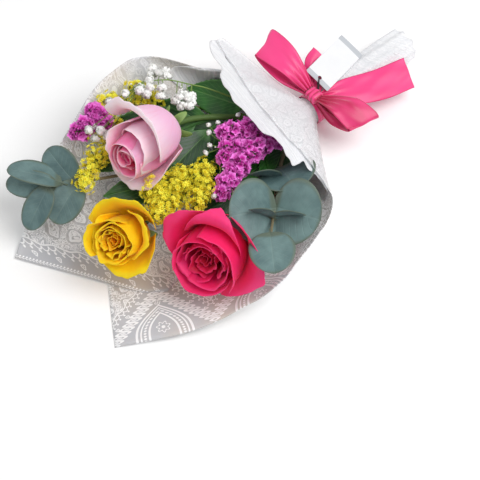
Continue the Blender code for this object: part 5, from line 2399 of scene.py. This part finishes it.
def make_roses() -> tuple[Rose, ...]:
    """The three roses, each with its own openness.

    Returns:
        The pink, the yellow and the magenta rose.
    """
    pink = PetalFinish("pink_petal", *tints(0xFFB6D6, 0xF63282, 0xFFE6D8, 0xFFE2EC), 0.38)
    yellow = PetalFinish("yellow_petal", *tints(0xFFC000, 0xFC8C00, 0xFCB402, 0xFFD20A), 0.42)
    magenta = PetalFinish("magenta_petal", *tints(0xEE125C, 0xC4002C, 0xD40642, 0xFA3076), 0.30)
    pink_outer = (
        guard_petal(42, 62, (20, 86, 108), 20, 42, trim=0.10, tuck=-5.0, slant=-4.0, ruffle=1.5),
        guard_petal(205, 68, (20, 85, 90), 30, 33, 1.06, ruffle=0.8, tone=0.10),
        wide_petal(102, 70, (4, 82, 34), 45, 46, trim=0.08, corner=3.2, tuck=7.0, slant=-2.0, ruffle=1.6),
        wide_petal(288, 71, (4, 76, 60), 25, 40, 1.15, trim=0.16, corner=2.8, ruffle=1.2),
    )
    pink_extras = (
        cupped_petal(40, 20.5, 60, -0.32, 1.5, 33, 0.10, tuck=-5.0, slant=-3.0, ruffle=1.2, tone=0.34),
        cupped_petal(165, 19, 61, -0.20, 1.0, 30, tuck=2.0, ruffle=1.0, tone=0.56),
        cupped_petal(285, 18, 58, -0.12, 1.2, 30, tuck=2.0, ruffle=1.0, tone=0.64),
        cupped_petal(95, 15, 60, -0.42, 1.0, 24, 0.10, 1.8, tuck=-4.0, slant=2.0, ruffle=0.8, point=0.06,
                     tone=0.66),
    )
    yellow_outer = (
        guard_petal(30, 50, (20, 78, 52), 60, 27, trim=0.16, corner=2.8, tuck=2.0, ruffle=2.4, curl=1.5,
                    tone=0.08),
        guard_petal(222, 48, (20, 74, 70), 30, 30, trim=0.14, corner=2.8, ruffle=1.8, curl=1.0),
        wide_petal(112, 52, (4, 70, 52), 30, 36, trim=0.12, corner=3.2, ruffle=1.8),
        wide_petal(300, 50, (4, 66, 44), 50, 32, 1.15, trim=0.18, corner=2.6, ruffle=2.2, tone=0.05),
    )
    yellow_extras = (
        cupped_petal(165, 19, 44, 0.14, 1.5, 30, 0.14, 2.6, tuck=3.0, ruffle=2.8, tone=0.12),
        cupped_petal(65, 18, 44, -0.06, 2.0, 30, corner=2.6, tuck=-4.0, ruffle=2.6, tone=0.12),
        cupped_petal(275, 17, 41, 0.05, 2.0, 26, corner=2.6, tuck=2.0, ruffle=2.6, tone=0.15),
        cupped_petal(20, 14, 43, -0.10, 1.5, 25, tuck=-4.0, ruffle=2.2, tone=0.22),
        cupped_petal(140, 14, 43, -0.15, 1.5, 24, tuck=2.0, ruffle=2.2, tone=0.25),
    )
    magenta_outer = (
        guard_petal(92, 64, (16, 76, -14), 50, 34, 1.20, trim=0.30, corner=1.5, tuck=3.0, ruffle=1.2,
                    point=0.10),
        guard_petal(245, 56, (16, 72, 70), 20, 36, trim=0.12, ruffle=1.2, tone=0.12),
        wide_petal(160, 62, (2, 66, 20), 40, 36, trim=0.24, corner=1.8, ruffle=1.6, point=0.08, tone=0.2),
        wide_petal(348, 64, (2, 64, 24), 40, 42, trim=0.24, corner=1.9, tuck=-3.0, ruffle=1.8, point=0.06),
    )
    magenta_extras = (
        cupped_petal(30, 27, 50, 0.10, 2.0, 36, 0.2, 2.0, flatness=1.1, tuck=-4.0, ruffle=1.6, point=0.05,
                     tone=0.05),
        cupped_petal(140, 24, 49, -0.02, 1.5, 32, 0.16, 2.2, tuck=3.0, ruffle=1.4, tone=0.28),
        cupped_petal(265, 27, 46, 0.04, 1.5, 42, corner=2.6, tuck=2.0, ruffle=1.3, tone=0.15),
        cupped_petal(75, 21, 47, -0.15, 1.5, 28, 0.18, 2.0, tuck=-4.0, ruffle=1.2, point=0.05, tone=0.25),
        cupped_petal(330, 23, 47, 0.02, 1.8, 30, 0.16, 2.2, tuck=3.0, ruffle=1.4, tone=0.22),
        cupped_petal(205, 21, 44, -0.02, 1.5, 30, 0.14, tuck=-3.0, ruffle=1.2, tone=0.35),
    )
    # Higher tones paint the inner petals with more heart colour, as painted shade; tones near 0 give the
    # outer petals a painted highlight.
    pink_whorl = Whorl(6, (11.5, 2.4), (60, 55), (-0.30, -0.35), 250, tones=(0.80, 1.15))
    yellow_whorl = Whorl(7, (12.5, 3.0), (43, 38), (0.06, -0.20), 330, 0.86, 107.0, (0.26, 0.70), 2.8)
    magenta_whorl = Whorl(8, (18, 3.2), (44, 37), (0.10, -0.16), 20, 0.80, 108.0, (0.45, 1.0), 3.2)
    return (
        Rose("pink_rose", pink, Slot.PINK, (-43, -142, 65), (1.0, -10.0), 0.0,
             pink_outer, pink_whorl, pink_extras, 15),
        Rose("yellow_rose", yellow, Slot.YELLOW, (9, -225, 36), (-5.5, -5.3), 0.5,
             yellow_outer, yellow_whorl, yellow_extras, 14),
        Rose("magenta_rose", magenta, Slot.MAGENTA, (68, -168, 41), (-5.0, -10.0), 0.2,
             magenta_outer, magenta_whorl, magenta_extras, 15),
    )


def make_leaves() -> tuple[RoseLeaves, tuple[Sprig, Sprig]]:
    """The rose leaves and the two eucalyptus sprigs.

    Returns:
        The rose leaves, and the right and the left sprig.
    """
    dark = LeafFinish(
        "rose_leaf", *tints(0x124216, 0x3A8230, 0x7CAC60, 0x427832),
        count=9.0, lean=0.9, roughness=0.36, vein_share=0.40,
    )
    glaucous = LeafFinish(
        "eucalyptus_leaf", *tints(0x425C5E, 0x708C8A, 0x889E96, 0x5C6A5C),
        count=8.0, lean=0.55, roughness=0.55, vein_share=0.16,
    )
    up, low = (0, 0, 1), (0, 0, -1)
    # The last number is each leaf's tone: leaves that hang low under the flowers get low tones, a darker
    # green of painted shade.
    filler = (
        ("pink_rose", -96, low, (-70, -178, 28), 36, 0.15),
        ("pink_rose", -88, low, (-22, -176, 26), 34, 0.10),
        ("pink_rose", -60, low, (-10, -118, 26), 38, 0.15),
        ("pink_rose", -84, low, (-96, -150, 34), 36, 0.20),
        ("yellow_rose", -120, low, (-30, -204, 26), 36, 0.15),
        ("yellow_rose", -100, low, (28, -166, 28), 34, 0.10),
        ("yellow_rose", -66, up, (2, -118, 38), 30, 0.30),
        ("magenta_rose", -60, low, (66, -112, 30), 40, 0.15),
        ("magenta_rose", -84, low, (24, -176, 24), 36, 0.10),
        ("magenta_rose", -44, up, (44, -92, 34), 30, 0.30),
        ("yellow_rose", -112, low, (-40, -226, 34), 40, 0.15),
        ("pink_rose", -102, low, (-70, -220, 36), 38, 0.20),
        ("pink_rose", -90, low, (-98, -186, 40), 36, 0.15),
    )
    rose_leaves = RoseLeaves(tuple(
        (stem, Leaf(name, y, side, tip, TOWARDS_VIEWER, width, 0.25, serration=0.09, tone=tone))
        for name, stem, y, side, tip, width, tone in (
            ("rose_leaf_large", "pink_rose", -52, (-0.3, 0, 1), (-81, -92, 44), 37, 0.45),
            ("rose_leaf_left", "pink_rose", -74, (0.2, 0, -1), (-44, -126, 31), 28, 0.2),
            ("rose_leaf_middle", "yellow_rose", -92, (-0.2, 0, 1), (-6, -152, 42), 26, 0.3),
            ("rose_leaf_right", "magenta_rose", -70, (-0.4, 0, 1), (32, -142, 40), 28, 0.3),
            ("rose_leaf_small", "magenta_rose", -50, (-0.6, 0, 1), (33, -98, 36), 18, 0.5),
        )
    ), tuple(
        (stem, Leaf(f"filler_{i}", y, side, tip, TOWARDS_VIEWER, width, 0.2, serration=0.09, tone=tone))
        for i, (stem, y, side, tip, width, tone) in enumerate(filler)
    ), dark)
    right = (
        ("leaf_1", -84, (0.9, 0, 0.5), (86, -98, 66), (0.36, -0.20, 0.90), 56),
        ("leaf_2", -96, (-1, 0, 0.5), (46, -120, 66), EDGE_ON, 30),
        ("leaf_3", -122, (-1, 0, 0.4), (70, -166, 73), TOWARDS_VIEWER, 60),
        ("leaf_4", -120, (1, 0, 0.2), (123, -103, 67), TOWARDS_VIEWER, 62),
        ("leaf_5", -133, (0, 0, 1), (82, -151, 82), EDGE_ON, 18),
        ("leaf_6", -132, (0.9, 0, 0.7), (114, -114, 74), EDGE_ON, 20),
        ("leaf_7", -147.9, (0, 0, 1), (141, -173, 75), TOWARDS_VIEWER, 41),
    )
    left = (
        ("leaf_1", -240, (-0.6, 0, 0.8), (-100, -242, 60), (0.1, -0.5, 0.86), 33),
        ("leaf_2", -238, (1, 0, -0.6), (-48, -277, 30), TOWARDS_VIEWER, 33),
        ("leaf_3", -254, (-0.6, 0, 0.8), (-102, -286, 64), (-0.3, 0.1, 0.95), 33),
        ("leaf_4", -257, (-1, 0, -0.1), (-100, -291, 48), TOWARDS_VIEWER, 26),
        ("leaf_5", -263, (1, 0, -1), (-59, -299, 28), TOWARDS_VIEWER, 26),
    )
    sprigs = (Sprig(name, tuple(
        Leaf(*row, 0.10, True, tone=0.35 + 0.1 * (i % 4)) for i, row in enumerate(rows)
    ), glaucous) for name, rows in (("eucalyptus_right", right), ("eucalyptus_left", left)))
    return rose_leaves, tuple(sprigs)


def make_sprays() -> tuple[tuple[Spray, ...], tuple[Spray, ...], tuple[BabysBreath, ...]]:
    """Goldenrod, statice and gypsophila between and behind the roses.

    Returns:
        The goldenrod, the statice and the gypsophila.
    """
    star, funnel = star_floret(9, 1.0, 0.30), funnel_floret(1.0, 1.3, 5)
    goldenrod = tuple(
        Spray(name, head, half_width, lump, star, (2.0, 3.5), 3.8, Slot.GOLDENROD, 3.0, branches)
        for name, head, half_width, lump, branches in (
            ("goldenrod_centre", ((2, -138, 48), (9, -166, 54), (15, -192, 56), (22, -208, 55)), 12, 4.6,
             (((-4, -160, 50), (-8, -184, 52), (-6, -198, 52)),
              ((0, -176, 54), (6, -198, 56), (18, -206, 54)),
              ((14, -150, 54), (30, -164, 58), (36, -178, 58)))),
            ("goldenrod_left", ((-63, -190, 46), (-66, -213, 54), (-52, -238, 54)), 9.5, 4.2,
             (((-70, -186, 54), (-84, -200, 58)), ((-80, -176, 56), (-104, -174, 60), (-106, -162, 60)))),
            ("goldenrod_back", ((-84, -126, 50), (-98, -152, 56)), 9, 4.2,
             (((-92, -128, 58), (-106, -142, 62)),)),
        )
    )
    statice = tuple(
        Spray(name, head, half_width, lump, funnel, (2.8, 4.6), 5.6, Slot.STATICE, 3.4, branches)
        for name, head, half_width, lump, branches in (
            ("statice_right", ((20, -66, 48), (24, -100, 58), (34, -136, 60)), 9.5, 4.8,
             (((14, -72, 54), (6, -86, 60), (-3, -98, 62), (-8, -108, 62)),
              ((18, -96, 56), (10, -112, 61), (14, -124, 62)),
              ((24, -118, 58), (34, -136, 60), (40, -150, 58)))),
            ("statice_left", ((-93, -182, 59), (-97, -204, 62)), 8.5, 4.4,
             (((-97, -184, 64), (-104, -188, 68)), ((-94, -204, 62), (-97, -213, 61)))),
        )
    )
    left_balls = (
        (-99, -119, 70), (-90, -110, 71), (-93, -137, 72), (-82, -139, 74), (-71, -130, 74), (-97, -153, 71),
        (-101, -169, 68), (-63, -113, 72), (-60, -122, 71), (-52, -122, 70), (-51, -110, 68), (-92, -196, 62),
        (-80, -202, 62), (-76, -193, 62), (-102, -116, 74), (-92, -116, 76), (-93, -107, 72), (-86, -204, 70),
        (-79, -196, 70), (-59, -118, 74), (-55, -112, 72), (-88, -143, 77), (-83, -134, 78), (-77, -124, 76),
        (-92, -128, 76), (-56, -106, 68), (-48, -116, 70),
    )
    right_balls = (
        (-6, -126, 62), (-1, -134, 62), (40, -158, 62), (56, -148, 62), (-16, -118, 64), (-20, -104, 63),
        (-14, -84, 64), (-8, -76, 64), (-24, -112, 62), (0, -68, 66),
    )
    breath = (
        BabysBreath(
            "gypsophila_left", ((-66, -98, 69), (-82, -114, 74), (-94, -134, 76)), left_balls, (3.8, 5.2),
        ),
        BabysBreath("gypsophila_right", ((5, -96, 56), (2, -112, 60)), right_balls, (2.2, 3.2)),
    )
    return goldenrod, statice, breath


def make_wrap() -> Wrap:
    """The films and the tissue.

    Returns:
        The wrap.
    """
    left = Film("film_sheet_left", tuple(EdgeKey(*key) for key in (
        (150, (-34, -50, 52), 1.0, 1.0, True),
        (155, (-56, -54, 58), 1.0, 1.1),
        (162, (-80, -77, 62), 1.1, 1.3),
        (170, (-118, -108, 70), 1.3, 1.7),
        (180, (-128, -137, 70), 1.6, 2.0),
        (190, (-123, -174, 64), 2.0, 2.2),
        (200, (-106, -223, 48), 2.5, 2.4),
        (210, (-98, -246, 32), 3.0, 2.4),
        (222, (-84, -280, 12), 3.5, 2.4),
        (237, (-57, -320, 1.3), 4.0, 2.4, True),
        (250, (-20, -296, 1.3)),
        (262, (20, -270, 1.3)),
        (273, (44, -254, 1.3)),
        (284, (62, -232, 1.3), 4.0, 2.4, True),
    )), TISSUE_RADIUS + SHEET_PITCH, 1.5, (237, 265))
    right = Film("film_sheet_right", tuple(EdgeKey(*key) for key in (
        (235, (-36, -236, 0.3), 4.0, 2.4, True),
        (248, (-8, -253, 0.3)),
        (262, (20, -270, 0.3)),
        (276, (48, -287, 0.3)),
        (290, (76, -304, 0.3), 4.0, 2.4, True),
        (303, (110, -244, 8), 3.5, 2.4),
        (315, (126, -201, 20), 3.0, 2.4),
        (328, (135, -168, 34), 2.5, 2.4),
        (340, (134, -138, 45), 2.0, 2.2),
        (355, (123, -100, 51), 1.6, 1.8),
        (370, (110, -76, 54), 1.4, 1.5),
        (385, (93, -72, 62), 1.2, 1.3),
        (400, (68, -71, 72), 1.0, 1.1),
        (430, (40, -73, 80), 1.0, 1.0),
        (460, (-18, -67, 82), 1.0, 1.0),
        (482, (-52, -59, 82), 1.0, 1.0),
        (494, (-84, -52, 82), 1.0, 1.0),
        (500, (-86, -43, 76), 1.0, 1.0, True),
    )), TISSUE_RADIUS + 2 * SHEET_PITCH, 0.3, (290, 316))
    # cool and warm are the film's grey ground, painted shade; ink is its white print.
    cool, warm, ink = tints(0xCED0D6, 0xD6CCC1, 0xFDFDFE)
    return Wrap(
        left, right,
        FilmFinish("printed_film_left", cool, warm, ink, shift=0.020, zigzag=0.0),
        FilmFinish("printed_film_right", cool, warm, ink, shift=0.0, zigzag=1.0),
        TissueFinish("tissue", *tints(0xFBFBFD, 0xE2E4E9)),
        (
            (152, 1.06), (160, 1.05), (172, 0.84), (186, 0.50), (220, 0.30), (262, 0.30), (310, 0.40),
            (350, 0.72), (380, 0.96), (400, 1.06), (416, 1.24), (430, 1.14), (448, 1.26), (468, 1.30),
            (486, 1.18), (500, 1.0),
        ),
    )


def make_bow() -> Bow:
    """The ribbon's pieces, all starting at the knot.

    Returns:
        The bow.
    """
    x, y, z = KNOT
    side, back = KNOT_SIZE[0] / 2 + 0.4, KNOT_SIZE[1] / 2 + 0.4
    pinched, flat, turned = (0, -1, 0), (0.45, -0.89, 0.0), (-0.25, -0.95, -0.1)
    under = 0.4 + 0.3 + CAD_RIBBON_WALL / 2
    return Bow((
        Strip(
            "bow_loop_left",
            ((x - side, y, z + 2.5), (x - 36, y - 3, z + 20), (x - 67, y - 6, z + 20), (x - 38, y - 5, z + 8),
             (x - side, y, z - 2.5)),
            (pinched, flat, flat, flat, pinched), (10, 31, 36, 31, 10), (0.0, 1.0), seed=1.0,
        ),
        # The right loop is painted darker, with a tone of 0.42, as painted shade.
        Strip(
            "bow_loop_right",
            ((x + side, y, z + 2.5), (x + 34, y + 8, z + 12), (x + 58, y + 12, z + 4), (x + 34, y + 6, z - 4),
             (x + side, y, z - 2.5)),
            (pinched, turned, turned, turned, pinched), (9, 28, 33, 28, 9), (0.0, 1.0), seed=2.0, tone=0.42,
        ),
        Strip(
            "ribbon_tail_long",
            ((x + 4, y + back, z - 2.5), (x + 14, y + 30, z - 5.2), (x + 26, y + 62, z - 9.5),
             (x + 33, y + 98, z - 13)),
            ((0.98, 0, 0), (0.94, -0.3, -0.15), (0.88, -0.40, -0.3), (0.84, -0.45, -0.33)), (8, 28, 32, 32),
            (0.0,), seed=3.0,
        ),
        Strip(
            "ribbon_tail_short",
            ((x - 4.5, y + back, z - 2.5), on_card(-10, 14, under + 3.0), on_card(-11, 28, under)),
            ((0.98, 0, 0), CARD_ACROSS, CARD_ACROSS), (9, 24, 29), (0.0,), pleats=2.0, seed=4.0,
        ),
    # The satin's two colours are its painted shade and its painted light.
    ), SatinFinish("satin_ribbon", *tints(0xB41044, 0xEC3C82), 31.0), 31.0)


def main() -> None:
    """Builds every sub-assembly in order."""
    logging.basicConfig(level=logging.INFO, format="%(name)s: %(message)s")
    sap, moss = tints(0x769246, 0x46622C)
    green = FloretFinish("stem_green", sap, moss, *tints(0x809E54), 0.55).material()
    bark = FloretFinish("eucalyptus_stem", moss, *tints(0x74684E, 0x8C8A6C), 0.6).material()
    for rose in make_roses():
        rose.build(green)
    rose_leaves, sprigs = make_leaves()
    rose_leaves.build()
    for sprig in sprigs:
        sprig.build(bark)
    goldenrod, statice, breath = make_sprays()
    gold = FloretFinish("goldenrod", *tints(0x60701A, 0xE4CC04, 0xFFFF50), 0.7, 0.05).material()
    for spray in goldenrod:
        spray.build(gold)
    violet = FloretFinish("statice", *tints(0x687642, 0xC422A0, 0xFA8AE8), 0.7, 0.05).material()
    for spray in statice:
        spray.build(violet)
    white = FloretFinish("gypsophila", sap, *tints(0xE2E4DA, 0xFFFFFC), 0.75, 0.10).material()
    for veil in breath:
        veil.build(white)
    make_wrap().build()
    make_bow().build()
    GiftCard(
        length=62.0, width=29.0, hole_radius=2.0, hole_inset=5.5, corner=1.2,
        # The card's second colour is the painted shade at its ends.
        card_finish=CardFinish("card", *tints(0xE2E3E5, 0xB8BCC1), length=62.0, inset=6.0),
        cord_finish=CordFinish("black_elastic", *tints(0x101012, 0x222224), pitch=0.9),
    ).build()
    TieBand(CordFinish("tie_band", *tints(0x808864, 0xA0A67E), pitch=1.6)).dress()
    Studio(
        *tints(0xFAFAFA), camera_at=(0.5184, -0.4346, 1.0409), look_at=(0.0779, -0.0650, 0.045), lens=95.83,
    ).build()
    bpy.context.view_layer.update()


if __name__ == "__main__":
    main()
